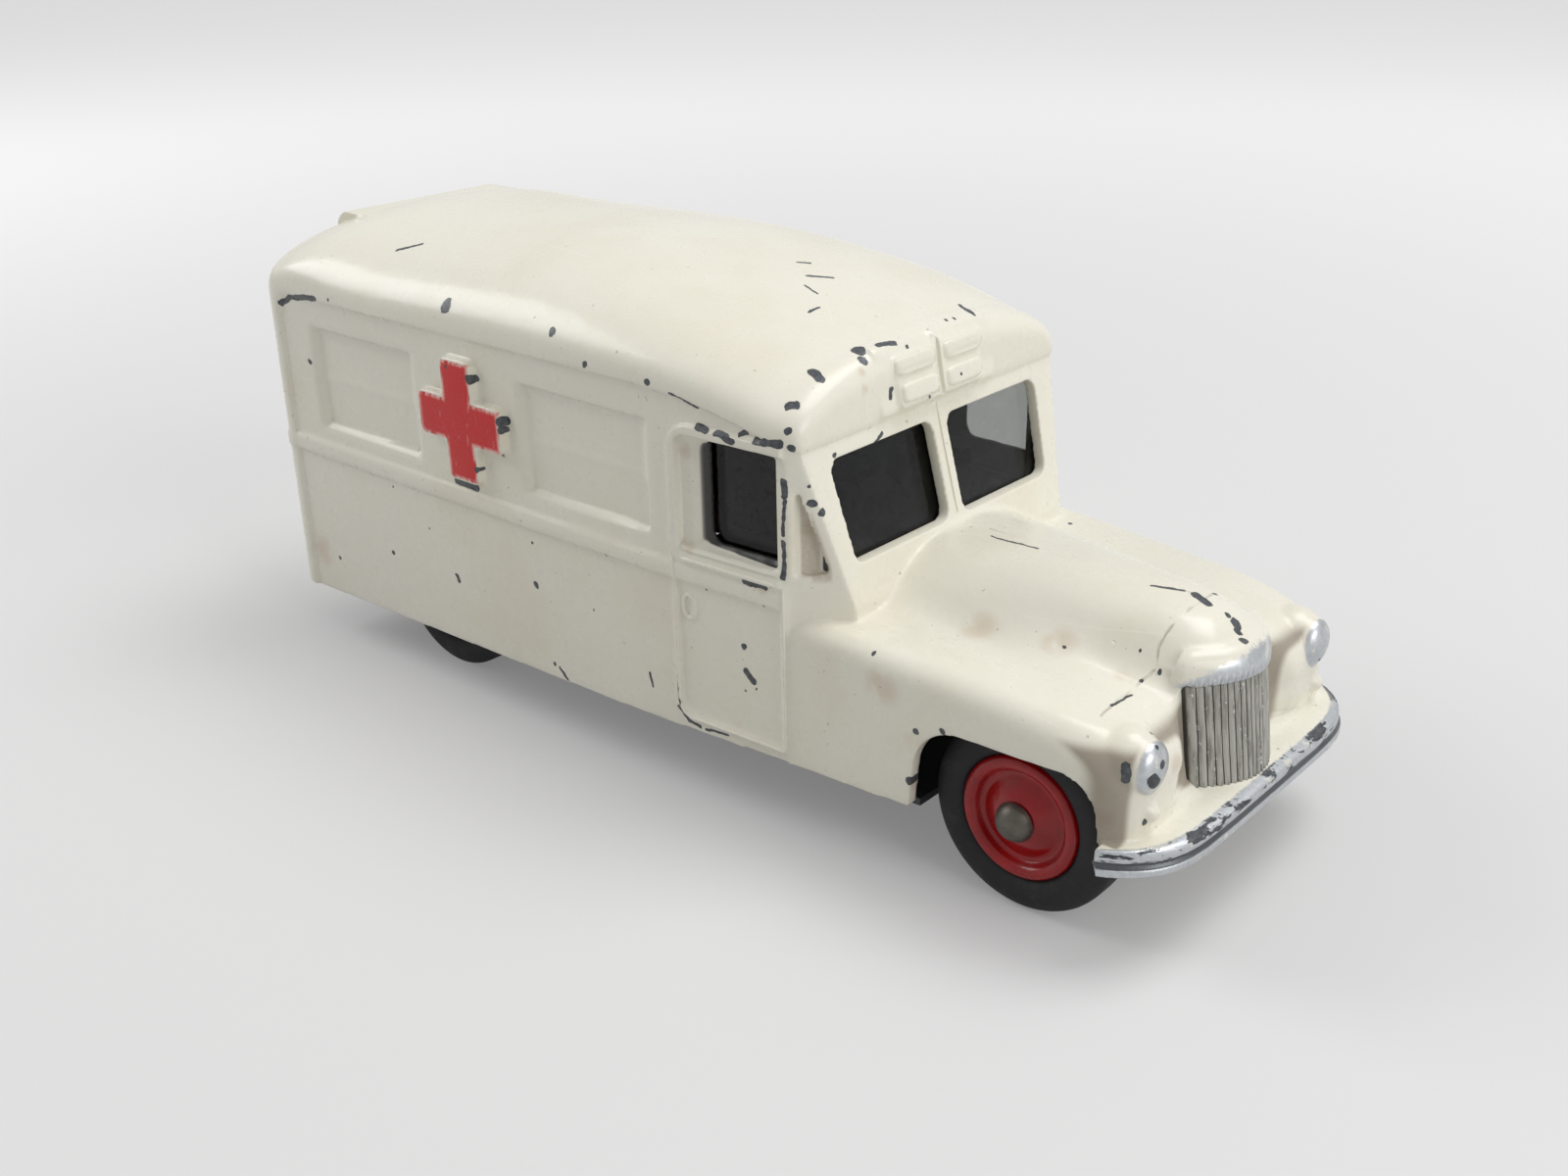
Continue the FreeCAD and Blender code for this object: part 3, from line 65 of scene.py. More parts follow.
class Bench:
    """The node tree of a material or of the world, with one way to add any node."""

    def __init__(self, owner: Material | World) -> None:
        """Take over a node tree and empty it.

        Args:
            owner: what the tree belongs to.
        """
        owner.use_nodes = True
        self.owner = owner
        self.tree = owner.node_tree
        self.tree.nodes.clear()

    @classmethod
    def material(cls, name: str) -> tuple["Bench", "Signal"]:
        """Start a material.

        Args:
            name: the material's name.

        Returns:
            Its bench, and the surface point in the object's own coordinates in millimetres.
        """
        bench = cls(bpy.data.materials.new(name))
        own = bench.signal("ShaderNodeTexCoord", "Object")
        return bench, bench.vector("SCALE", own, Scale=1 / MM)

    def add(self, kind: str, settings: dict | None = None, inputs: dict | None = None) -> Node:
        """Add a node, give it its settings and then feed its sockets.

        Args:
            kind: Blender's name of the node type.
            settings: attributes of the node.
            inputs: socket name or number to a value or a Signal.

        Returns:
            The new node.
        """
        made = self.tree.nodes.new(kind)
        for key, value in (settings or {}).items():
            setattr(made, key, value)
        for key, value in (inputs or {}).items():
            self.feed(made.inputs[key], value)
        return made

    def feed(self, socket: NodeSocket, value: object) -> None:
        """Link a signal to a socket or write a plain value into it.

        Args:
            socket: the input.
            value: a Signal, or what the socket holds. A colour may lack its alpha.
        """
        if isinstance(value, Signal):
            self.tree.links.new(value.socket, socket)
        elif socket.type == "RGBA" and len(value) == 3:
            socket.default_value = (*value, 1.0)
        else:
            socket.default_value = value

    def signal(self, kind: str, output: str | int, settings: dict | None = None,
               inputs: dict | None = None) -> "Signal":
        """Add a node and return one of its outputs as a Signal."""
        return Signal(self, self.add(kind, settings, inputs).outputs[output])

    def vector(self, operation: str, *values: object, **named: object) -> "Signal":
        """One Vector Math node.

        Args:
            operation: Blender's name of the operation.
            values: the vectors, in order.
            named: further sockets by name, such as Scale.

        Returns:
            The resulting vector, or the number for a distance or the like.
        """
        output = "Value" if operation in ("LENGTH", "DOT_PRODUCT", "DISTANCE") else "Vector"
        inputs = {**dict(enumerate(values)), **named}
        return self.signal("ShaderNodeVectorMath", output, {"operation": operation}, inputs)

    def parts(self, vector: "Signal") -> tuple["Signal", "Signal", "Signal"]:
        """The X, Y and Z of a vector."""
        split = self.add("ShaderNodeSeparateXYZ", None, {0: vector})
        return tuple(Signal(self, split.outputs[axis]) for axis in range(3))

    def attribute(self, name: str) -> "Signal":
        """A number that the mesh stores for each vertex."""
        return self.signal("ShaderNodeAttribute", "Fac", {"attribute_name": name})

    def noise(self, place: "Signal", scale: float, detail: float = 3.0) -> "Signal":
        """Noise from 0 to 1 whose cells are 1/scale millimetres wide."""
        return self.signal("ShaderNodeTexNoise", 0, {"normalize": True},
                           {"Vector": place, "Scale": scale, "Detail": detail, "Roughness": 0.55})

    def stretched_noise(self, place: "Signal", scales: Triple, detail: float = 3.0) -> "Signal":
        """Noise with its own scale along each axis."""
        return self.noise(self.vector("MULTIPLY", place, scales), 1.0, detail)

    def mix(self, share: object, first: object, second: object) -> "Signal":
        """Colour mix: the first where share is 0, the second where it is 1."""
        return self.signal("ShaderNodeMix", 2, {"data_type": "RGBA", "clamp_factor": True},
                           {0: share, 6: first, 7: second})

    def bump(self, height: "Signal", distance: float) -> "Signal":
        """Normal of a height map whose 1 is so many millimetres high."""
        return self.signal("ShaderNodeBump", "Normal", None,
                           {"Strength": 1.0, "Distance": distance * MM, "Height": height})

    def backdrop_rays(self) -> "Signal":
        """Pick out the rays that show the backdrop itself: seen, mirrored or through glass.

        Returns:
            1 for those rays, 0 for the rest.
        """
        ray = self.add("ShaderNodeLightPath")
        seen, mirrored, through = (Signal(self, ray.outputs[f"Is {kind} Ray"])
                                   for kind in ("Camera", "Glossy", "Transmission"))
        return seen.most(mirrored).most(through)

    def surface(self, **sockets: object) -> Material:
        """Finish the material with a Principled shader.

        Args:
            sockets: the shader's sockets by name, spaces written as underscores.

        Returns:
            The finished material.
        """
        named = {key.replace("_", " "): value for key, value in sockets.items()}
        shader = self.signal("ShaderNodeBsdfPrincipled", 0, None, named)
        self.add("ShaderNodeOutputMaterial", None, {"Surface": shader})
        return self.owner


class Signal:
    """A shader socket that takes part in Python arithmetic."""

    def __init__(self, bench: Bench, socket: NodeSocket) -> None:
        """Wrap an output socket of a bench's tree."""
        self.bench = bench
        self.socket = socket

    def _math(self, operation: str, *values: object) -> "Signal":
        """Add a Math node of the given operation."""
        return self.bench.signal("ShaderNodeMath", 0, {"operation": operation}, dict(enumerate(values)))

    def __add__(self, other: object) -> "Signal":
        """self + other."""
        return self._math("ADD", self, other)

    __radd__ = __add__

    def __sub__(self, other: object) -> "Signal":
        """self - other."""
        return self._math("SUBTRACT", self, other)

    def __rsub__(self, other: object) -> "Signal":
        """other - self."""
        return self._math("SUBTRACT", other, self)

    def __mul__(self, other: object) -> "Signal":
        """self * other."""
        return self._math("MULTIPLY", self, other)

    __rmul__ = __mul__

    def __truediv__(self, other: object) -> "Signal":
        """self / other."""
        return self._math("DIVIDE", self, other)

    def __pow__(self, other: object) -> "Signal":
        """self ** other."""
        return self._math("POWER", self, other)

    def __abs__(self) -> "Signal":
        """Size without sign."""
        return self._math("ABSOLUTE", self)

    def scaled(self, factor: float, offset: float) -> "Signal":
        """self * factor + offset in one node."""
        return self._math("MULTIPLY_ADD", self, factor, offset)

    def least(self, other: object) -> "Signal":
        """The smaller of two."""
        return self._math("MINIMUM", self, other)

    def most(self, other: object) -> "Signal":
        """The larger of two."""
        return self._math("MAXIMUM", self, other)

    def wave(self, pitch: float) -> "Signal":
        """Sine with one crest in each pitch."""
        return self._math("SINE", self * (2 * math.pi / pitch))

    def rise(self, low: float, high: float) -> "Signal":
        """Smooth step.

        Args:
            low: where it is 0.
            high: where it is 1, which may lie below low.

        Returns:
            The step.
        """
        if high < low:
            return 1 - self.rise(high, low)
        return self.bench.signal("ShaderNodeMapRange", 0, {"interpolation_type": "SMOOTHSTEP"},
                                 {"Value": self, "From Min": low, "From Max": high})


# Finishes


@dataclass(frozen=True)
class Marks:
    """Places where the finish is gone: round chips and straight scratches, in millimetres.

    A chip is its centre and radius. A scratch is its two ends and half its width. The squash
    scales each axis before a distance is taken, so that a mark reaches through a surface that
    lies a little off.
    """

    squash: Triple = (1.0, 1.0, 1.0)
    chips: tuple[tuple[float, ...], ...] = ()
    scratches: tuple[tuple[float, ...], ...] = ()

    def depth(self, bench: Bench, place: Signal) -> Signal:
        """How deep a point lies in any of the marks.

        Args:
            bench: the material's bench.
            place: the surface point in millimetres.

        Returns:
            1 in the middle of a mark, 0 at its edge and less outside.
        """
        spot = bench.vector("MULTIPLY", place, self.squash)
        scale = Vector(self.squash)
        nearest: Signal | None = None
        for *centre, radius in self.chips:
            away = bench.vector("DISTANCE", spot, tuple(Vector(centre) * scale))
            nearest = self.deeper(nearest, away, radius)
        for *ends, radius in self.scratches:
            start, stop = Vector(ends[:3]) * scale, Vector(ends[3:]) * scale
            line = stop - start
            from_start = bench.vector("SUBTRACT", spot, tuple(start))
            along = bench.vector("DOT_PRODUCT", from_start, tuple(line / line.length_squared))
            foot = bench.vector("SCALE", tuple(line), Scale=along.least(1.0).most(0.0))
            away = bench.vector("DISTANCE", from_start, foot)
            nearest = self.deeper(nearest, away, radius)
        return nearest

    @staticmethod
    def deeper(nearest: Signal | None, away: Signal, radius: float) -> Signal:
        """The larger of the depth so far and that in one more mark."""
        depth = away.scaled(-1 / radius, 1.0)
        return depth if nearest is None else nearest.most(depth)


def bent_scratch(radius: float, *corners: Triple) -> tuple[tuple[float, ...], ...]:
    """Straight scratches end to end through the corners."""
    return tuple((*near, *far, radius) for near, far in zip(corners, corners[1:]))


SIDE_MARKS = Marks(squash=(1.0, 0.3, 1.0), chips=(
    (-36.5, -17.9, 34.7, 0.15), (-2.9, -17.9, 34.8, 0.27), (3.7, -17.7, 34.6, 0.34),
    (-41.3, -17.6, 28.1, 0.29), (-19.7, -18.4, 31.7, 0.18), (-16.8, -18.4, 31.1, 0.43),
    (-13.3, -18.4, 28.1, 0.49), (-13.3, -18.3, 27.4, 0.34), (-14.2, -17.6, 24.9, 0.23),
    (-16.9, -18.4, 23.2, 0.27), (-2.1, -17.8, 19.1, 0.13), (-31.7, -17.6, 11.5, 0.24),
    (-40.8, -17.6, 8.6, 0.25), (-11.4, -17.6, 13.9, 0.35), (-11.4, -17.6, 17.7, 0.16),
    (-30.5, -17.6, 18.3, 0.12), (-25.7, -17.6, 15.4, 0.13), (-4.3, -17.6, 13.6, 0.12),
    (-9.8, -17.6, 6.9, 0.22), (8.6, -17.2, 18.9, 0.12), (14.3, -17.1, 19.1, 0.12), (12, -17, 15, 0.33),
    (13.2, -16.9, 11.7, 0.12), (12.1, -17, 11.2, 0.12), (16.6, -16.6, 33.1, 0.28),
    (16.9, -16.7, 31.9, 0.29), (23.9, -16, 17.8, 0.18), (28.1, -15.9, 13, 0.34), (27.6, -16.1, 8.7, 0.42),
    (30.3, -15.9, 13.7, 0.3), (-20.4, -17.3, 36.5, 0.6), (-7.2, -17.3, 36.5, 0.36),
), scratches=(
    (-44.6, -17.6, 33.1, -43.2, -17.6, 33.9, 0.29), (-43.2, -17.6, 33.9, -38.7, -17.9, 34.5, 0.3),
    (5.9, -17.7, 34.1, 8.4, -17.2, 33.4, 0.12), (-20.9, -17.6, 21.1, -18.2, -17.6, 21.1, 0.36),
    (-22.3, -17.6, 11.8, -22.1, -17.6, 11.3, 0.23), (-9.1, -17.6, 6.7, -8.2, -17.6, 5.9, 0.14),
    (2, -17.5, 9.7, 2.2, -17.5, 8.6, 0.12), (5.2, -17.6, 10.5, 5.3, -17.6, 8, 0.17),
    (5, -17.4, 7.7, 6.1, -17.3, 6.7, 0.17), (6.1, -17.3, 6.7, 7.3, -17.3, 6.5, 0.16),
    (7.8, -17.2, 6.5, 10.2, -17.1, 6.7, 0.13), (12.2, -17, 12.9, 12.9, -16.9, 12.3, 0.32),
    (12.6, -17.2, 20.7, 14.6, -17.1, 20.7, 0.23), (16.2, -16.7, 29.3, 16.2, -16.7, 28.1, 0.25),
    (16.3, -16.7, 27.8, 16.1, -16.8, 25.2, 0.17), (16.1, -16.8, 24.6, 16.1, -16.8, 21.7, 0.2),
    (8.4, -17.2, 32, 9.3, -17.6, 31.9, 0.23), (10.3, -17.3, 31.9, 11.9, -17.4, 31.6, 0.26),
    (12.3, -17, 32.1, 13, -16.9, 32.4, 0.18), (13.9, -16.9, 32, 16.2, -17, 32.2, 0.29),
))
TOP_MARKS = Marks(squash=(1.0, 1.0, 0.3), chips=(
    (15.6, -7.5, 36.8, 0.55), (16.4, -8, 36.4, 0.36),
    (16.9, -3.3, 36.3, 0.16), (16.1, 2.8, 37, 0.17), (16.1, 3.7, 36.9, 0.17),
    (40.9, 2.1, 20.9, 0.23), (42.9, 0.4, 20.4, 0.26), (43.6, 0.4, 20, 0.43), (44, 0, 19.6, 0.3),
    (44.7, -0.6, 19.3, 0.36), (34.4, -7.4, 18.1, 0.15), (40.3, -6.6, 17, 0.15), (41.1, -5.6, 17.7, 0.15),
    (39.3, -5.3, 18.6, 0.12),
), scratches=(
    (-31.9, -13.2, 38.9, -30.3, -11.8, 39.4, 0.2), (15.7, -15.5, 34.5, 16.1, -15.2, 34.6, 0.35),
    (2.7, 0.7, 40, 3.3, 1.5, 39.9, 0.16), (5.2, -1, 39.6, 6.6, 0.4, 39.4, 0.17),
    (6.4, -2.8, 39.4, 8, -3.2, 39, 0.12), (9.7, -6.2, 38.5, 9.7, -5, 38.6, 0.12),
    (14.9, -11.9, 36.1, 15.9, -12.2, 35.8, 0.38), (16.1, -5.9, 36.9, 16.4, -4.2, 36.8, 0.28),
    (14.5, 6.8, 37.1, 16.4, 6, 36.8, 0.21), (23.4, -0.9, 21.9, 27.5, -0.6, 21.8, 0.1),
    (37.3, -0.6, 21.5, 39.3, 0.4, 21.3, 0.15), (40.2, 0.5, 21.2, 41.4, 0.1, 21, 0.39),
    (40.4, -10.7, 16.9, 40.6, -8.4, 16.8, 0.12),
))
FRONT_MARKS = Marks(squash=(0.4, 1.0, 1.0), chips=(
    (17.9, 2, 33.2, 0.2), (17.9, -1, 33, 0.13), (18, -1.8, 32.3, 0.14), (17.5, -12.6, 30.4, 0.23),
    (18.4, -15.1, 27, 0.31), (18, -15.6, 27.7, 0.3), (17.8, -15.7, 29, 0.12), (47.3, -7.3, 9.1, 0.12),
), scratches=(
    (17.4, -5.9, 33.7, 17.5, -6, 33.2, 0.26), (17.6, -7.9, 30.2, 17.5, -7, 30.6, 0.15),
))
CORNER_MARKS = Marks(chips=(
    (45.4, -12.4, 14.9, 0.34), (43.8, -11.2, 16.2, 0.2), (44.8, -13.1, 10.6, 0.24),
    (44.9, -12.4, 16.0, 0.2), (44.7, 12.9, 15.6, 0.3), (45.0, 12.0, 13.2, 0.25),
    (20.9, 12.2, 18.8, 0.24), (22.0, 12.9, 18.4, 0.22),
), scratches=(
    (43.8, -14.4, 15.0, 43.9, -14.4, 14.1, 0.34), (45.3, -13.4, 14.1, 45.3, -12.9, 13.6, 0.45),
))
SEAM_MARKS = Marks(scratches=(
    *bent_scratch(0.13, (40.9, -5.9, 17.5), (40.4, -4.8, 19.1), (40.6, -3.7, 20.2), (40.9, -1.6, 21.0),
                  (40.9, 1.6, 21.0), (40.6, 3.7, 20.2), (40.4, 4.8, 19.1), (40.9, 5.9, 17.5)),
    *bent_scratch(0.13, (40.7, -5.7, 17.7), (40.2, -6.6, 17.0)),
    *bent_scratch(0.11, (40.2, -6.6, 17.0), (40.3, -9.3, 16.9), (40.5, -12.0, 16.9)),
    (40.5, -12.0, 16.9, 40.9, -14.6, 16.3, 0.1), (22.5, 0.3, 21.9, 40.3, 0.5, 21.2, 0.1),
    (16.4, -0.1, 36.9, 18.0, -0.6, 32.4, 0.12),
))
HAIR_MARKS = Marks(squash=(1.0, 1.0, 0.5), scratches=(
    *bent_scratch(0.07, (30.6, -6.9, 19.4), (35.9, -5.5, 19.5), (41.2, -3.9, 19.9)),
    (35.9, -15.2, 17.1, 39.0, -15.1, 16.6, 0.07), (9.2, -14.1, 36.9, 8.1, -11.1, 38.0, 0.07),
    (12.0, -6.1, 37.9, 9.0, -3.4, 38.8, 0.07), (-16.8, -8.8, 40.6, -11.2, -9.4, 40.4, 0.08),
    (-34.0, 3.0, 40.8, -28.0, 6.5, 40.5, 0.07), (24.5, 9.0, 20.4, 29.5, 6.0, 21.1, 0.07),
))
STAIN_MARKS = Marks(chips=(
    (42.9, -15.2, 10.9, 1.3), (27.6, -15.7, 8.2, 0.78), (17, -8.8, 35.7, 0.6), (17.4, -9, 34.5, 0.6),
    (28.1, -8.8, 18.4, 1.9), (33.8, -7.2, 18.4, 1.9), (-22.1, -18.4, 29.1, 1.24),
    (-14.1, -18.5, 26.4, 0.89), (14.3, -17, 20.5, 0.88), (-43.5, -17.6, 8.8, 2.39), (6.7, -17, 29.6, 0.89),
    (7, -17.5, 22, 0.89), (17.3, -15.2, 25.4, 1.02), (44.8, -9.3, 13.3, 1.15), (39.2, -6.8, 17.2, 1.18),
    (25.1, -16.5, 15.7, 2.11), (28, -15.8, 12, 1.4), (30.8, -15.4, 13.6, 1.2), (42.4, -15, 8.4, 1.1),
))


class CastPaint:
    """Aged ivory paint on the casting, with its red crosses, silvered trim, chips and painted shade.

    A zone is a list of limits: the axis, where the mask starts and where it is full, in
    millimetres. A pair is where a mask starts and where it is full.
    """

    ivory: Colour = (0.84, 0.815, 0.705)
    yellowed: Colour = (0.775, 0.72, 0.57)
    # Dark brown: dirt specks and seams, and painted shade in creases and hollows.
    grime_and_shade: Colour = (0.30, 0.24, 0.17)
    stain: Colour = (0.55, 0.36, 0.22)
    scuff: Colour = (0.90, 0.87, 0.76)
    # painted shade on the inner jamb by the windscreen pillar
    pillar_shade: Colour = (0.40, 0.33, 0.24)
    # painted shade inside the front wheel arches
    arch_shade: Colour = (0.22, 0.17, 0.12)
    # Dark metal: bare where the paint is chipped, and painted shade in the bumper's groove.
    bare_metal_and_shade: Colour = (0.055, 0.060, 0.066)
    bare_light: Colour = (0.13, 0.14, 0.15)
    red: Colour = (0.62, 0.003, 0.002)
    rubbed: Colour = (0.85, 0.50, 0.44)
    silver: Colour = (0.66, 0.68, 0.70)
    tarnish: Colour = (0.40, 0.42, 0.44)
    unlit: Colour = (0.035, 0.033, 0.031)
    screen_slope: float = 0.27
    screen_front: Pair = (25.3, 25.0)
    pillar: Zone = (("x", 16.2, 16.8), ("z", 21.3, 21.9), ("z", 32.5, 31.0),
                    ("across", 15.75, 15.55), ("across", 14.7, 14.9))
    arch: Zone = (("x", 44.4, 44.0), ("x", 26.6, 27.0), ("z", 16.2, 15.4), ("across", 15.7, 15.4))
    cross_centre: Pair = (-18.76, 27.08)
    cross_reach: float = 5.2
    cross_arm: float = 1.82
    cross_top: Pair = (18.05, 18.25)
    inside: Zone = (("z", 33.6, 33.3), ("x", -46.9, -46.7))
    inner_wall: Pair = (16.62, 16.54)
    cab_step: Pair = (15.6, 16.2)
    cab_inset: float = 1.9
    screen_sill: float = 21.75
    screen_back: Pair = (24.6, 24.4)
    bumper_half_width: float = 16.75
    bumper_sweep: float = 4.7
    bumper_face: Pair = (46.95, 47.15)
    bumper_top: Pair = (9.36, 9.26)
    bar_top: Pair = (9.4, 9.3)
    groove_height: float = 8.2
    groove_width: Pair = (0.24, 0.12)
    lamp_centre: Triple = (44.9, 12.35, 14.3)
    lamp_rim: Pair = (2.12, 2.0)
    lamp_face: Pair = (44.3, 44.5)
    lip: Zone = (("across", 5.95, 5.8), ("x", 42.2, 42.8))
    lip_half_width: float = 5.8
    lip_foot: Pair = (17.0, 17.15)
    lip_crown: Pair = (19.6, 19.2)
    flutes: Zone = (("across", 5.6, 5.3), ("z", 16.9, 17.0), ("z", 17.9, 17.3), ("x", 42.2, 42.8))
    flute_pitch: float = 0.49

    def __init__(self) -> None:
        """Start the material and lay out what its layers share."""
        bench, place = Bench.material("cast_paint")
        self.bench, self.place = bench, place
        self.x, self.y, self.z = bench.parts(place)
        self.across = abs(self.y)
        wobble = bench.signal("ShaderNodeTexNoise", 1, None,
                              {"Vector": place, "Scale": 1.1, "Detail": 3.0})
        centred = bench.vector("SUBTRACT", wobble, (0.5, 0.5, 0.5))
        self.jitter = bench.vector("SCALE", centred, Scale=0.5)
        self.ragged = bench.vector("ADD", place, self.jitter)
        self.fine = bench.noise(place, 3.2, 4.0)
        self.middle = bench.noise(place, 0.55)
        self.broad = bench.noise(place, 0.09)
        self.crease, self.edge = bench.attribute("crease"), bench.attribute("edge")

    def zone(self, limits: Zone) -> Signal:
        """1 where the point is inside all of a zone's limits."""
        return math.prod(getattr(self, axis).rise(start, full) for axis, start, full in limits)

    def make(self) -> Material:
        """Lay the layers over one another, the last on top.

        Returns:
            The finished material.
        """
        bench, fine, middle = self.bench, self.fine, self.middle
        silver = self.silver_mask()
        bar = silver * self.z.rise(*self.bar_top)
        groove = bar * abs(self.z - self.groove_height).rise(*self.groove_width)
        chip = self.chip_mask(bar)
        loose = bench.vector("ADD", self.place, bench.vector("SCALE", self.jitter, Scale=0.25))
        seam = SEAM_MARKS.depth(bench, loose).rise(0.0, 0.6)
        aged = self.broad.rise(0.42, 0.72) * 0.45 + middle.rise(0.5, 0.8) * 0.15
        stains = STAIN_MARKS.depth(bench, self.ragged).rise(0.0, 0.8) * middle.rise(0.3, 0.55)
        specks = bench.noise(self.place, 1.7, 2.0).rise(0.735, 0.765)
        hairs = HAIR_MARKS.depth(bench, self.place).rise(0.0, 0.5)
        # painted shade: the windscreen pillar's inner jamb darkened brown
        pillar = self.zone(self.pillar)
        pillar = pillar * (self.x + self.z * self.screen_slope).rise(*self.screen_front)
        worn = bench.noise(self.place, 0.9, 4.0).rise(0.60, 0.64)
        colour = bench.mix(aged, self.ivory, self.yellowed)
        for mask, tint in (
            # painted shade: creases and hollows darkened with the dark brown colour
            (self.crease * 0.4, self.grime_and_shade),
            (stains * 0.35, self.stain),
            (specks * 0.55, self.grime_and_shade),
            (hairs * 0.5, self.scuff),
            (seam * middle.rise(0.3, 0.7) * 0.6, self.grime_and_shade),
            # painted shade on the windscreen pillar's inner jamb
            (pillar * (fine * 0.5 + 0.3), self.pillar_shade),
            # painted shade inside the front wheel arches
            (self.zone(self.arch) * 0.75, self.arch_shade),
            (silver * (1 - worn * 0.5), bench.mix(fine, self.silver, self.tarnish)),
            # painted shade: the bumper's groove darkened with the dark metal colour
            (groove * 0.9, self.bare_metal_and_shade),
            self.cross_layer(),
            # painted shade: the inner walls of the van and cab made nearly black
            (self.inside_shade_mask(), self.unlit),
            (chip, bench.mix(fine.rise(0.3, 0.8), self.bare_metal_and_shade, self.bare_light)),
        ):
            colour = bench.mix(mask, colour, tint)
        height = middle * 0.2 + fine * 0.03 - chip * 1.6 - seam * 1.2 - groove * 3.0
        height = height + self.zone(self.flutes) * self.y.wave(self.flute_pitch) * 1.4
        height = height - bench.noise(self.place, 2.4, 1.0).rise(0.74, 0.84) * 0.6
        return bench.surface(Base_Color=colour, Roughness=middle * 0.12 + 0.22 + silver * 0.08 + chip * 0.18,
                             Metallic=(silver * 0.75).most(chip * 0.35), Coat_Weight=0.12,
                             Coat_Roughness=0.1, Specular_IOR_Level=0.35,
                             Normal=bench.bump(height, 0.05))

    def chip_mask(self, bar: Signal) -> Signal:
        """Where the paint is gone: at the marks, along proud edges and in patches on the bumper.

        Args:
            bar: 1 on the bumper.

        Returns:
            1 where the metal shows through.
        """
        deep = SIDE_MARKS.depth(self.bench, self.ragged)
        for marks in (TOP_MARKS, FRONT_MARKS, CORNER_MARKS):
            deep = deep.most(marks.depth(self.bench, self.ragged))
        rub = (self.edge * 1.2 + self.bench.noise(self.place, 0.35, 5.0)).rise(1.42, 1.5)
        patches = self.bench.stretched_noise(self.place, (0.45, 0.3, 1.4), 4.0).rise(0.53, 0.56)
        patches = patches * bar * self.z.rise(8.35, 8.5)
        return deep.rise(0.0, 0.12).most(rub).most(patches)

    def cross_layer(self) -> tuple[Signal, Signal]:
        """The painted tops of the two crosses, rubbed along their rims.

        Returns:
            1 on the paint, and its colour.
        """
        along = abs(self.x - self.cross_centre[0])
        up = abs(self.z - self.cross_centre[1])
        lying = (along - self.cross_reach).most(up - self.cross_arm)
        outside = lying.least((along - self.cross_arm).most(up - self.cross_reach))
        mask = (outside + self.fine * 0.3 - 0.15).rise(0.06, -0.06)
        scrape = self.bench.stretched_noise(self.place, (2.5, 1.0, 0.6), 4.0)
        fade = (outside.rise(-0.42, -0.05) * scrape.rise(0.35, 0.55)).most(scrape.rise(0.64, 0.68) * 0.45)
        return mask * self.across.rise(*self.cross_top), self.bench.mix(fade, self.red, self.rubbed)

    def inside_shade_mask(self) -> Signal:
        """The inner walls of the van and cab, made nearly black as painted shade.

        Returns:
            1 on those walls.
        """
        behind_screen = self.x + self.z.most(self.screen_sill) * self.screen_slope
        across = self.across + self.x.rise(*self.cab_step) * self.cab_inset
        mask = across.rise(*self.inner_wall) * self.zone(self.inside)
        return mask * behind_screen.rise(*self.screen_back)

    def silver_mask(self) -> Signal:
        """The bumper's bars, the lamps and the lip over the grille.

        Returns:
            1 on silver paint.
        """
        x, across, z, fine = self.x, self.across, self.z, self.fine
        sweep = (across / self.bumper_half_width) ** 7.0 * self.bumper_sweep
        bumper = (x + sweep + fine * 0.3).rise(*self.bumper_face) * z.rise(*self.bumper_top)
        turned = self.bench.signal("ShaderNodeCombineXYZ", 0, None, {0: x, 1: across, 2: z})
        lamps = (self.bench.vector("DISTANCE", turned, self.lamp_centre) + fine * 0.3).rise(*self.lamp_rim)
        lip = self.zone(self.lip) * (z + fine * 0.2).rise(*self.lip_foot)
        crown = z + fine * 0.9 + (across / self.lip_half_width) ** 2.0 * 1.5
        return bumper.most(lamps * x.rise(*self.lamp_face)).most(lip * crown.rise(*self.lip_crown))


@dataclass(frozen=True)
class HubPaint:
    """Deep red gloss paint of the wheel discs."""

    red: Colour = (0.36, 0.001, 0.002)
    dark: Colour = (0.20, 0.001, 0.002)

    def make(self) -> Material:
        """Build the material.

        Returns:
            The finished material.
        """
        bench, place = Bench.material("hub_paint")
        broad = bench.noise(place, 0.5)
        fine = bench.noise(place, 5.0)
        colour = bench.mix(broad.rise(0.35, 0.75) * 0.6, self.red, self.dark)
        return bench.surface(Base_Color=colour, Roughness=broad * 0.12 + 0.2, Specular_IOR_Level=0.35,
                             Coat_Weight=0.2, Coat_Roughness=0.08,
                             Normal=bench.bump(fine * 0.4 + broad, 0.03))


@dataclass(frozen=True)
class TyreRubber:
    """Dusty black rubber."""

    black: Colour = (0.016, 0.016, 0.018)
    dust: Colour = (0.07, 0.065, 0.058)

    def make(self) -> Material:
        """Build the material.

        Returns:
            The finished material.
        """
        bench, place = Bench.material("tyre_rubber")
        fine = bench.noise(place, 4.0, 5.0)
        dusty = bench.noise(place, 0.5, 4.0).rise(0.5, 0.8) * 0.5 + fine.rise(0.55, 0.8) * 0.3
        return bench.surface(Base_Color=bench.mix(dusty, self.black, self.dust), Roughness=fine * 0.2 + 0.6,
                             Specular_IOR_Level=0.35, Normal=bench.bump(fine, 0.04))


@dataclass(frozen=True)
class AxleSteel:
    """Dull dark steel of the axles and their peened heads."""

    dark: Colour = (0.07, 0.064, 0.055)
    light: Colour = (0.17, 0.155, 0.13)

    def make(self) -> Material:
        """Build the material.

        Returns:
            The finished material.
        """
        bench, place = Bench.material("axle_steel")
        broad = bench.noise(place, 0.9, 4.0)
        fine = bench.noise(place, 6.0)
        return bench.surface(Base_Color=bench.mix(broad, self.dark, self.light), Metallic=0.75,
                             Roughness=fine * 0.2 + 0.33, Normal=bench.bump(fine + broad, 0.02))


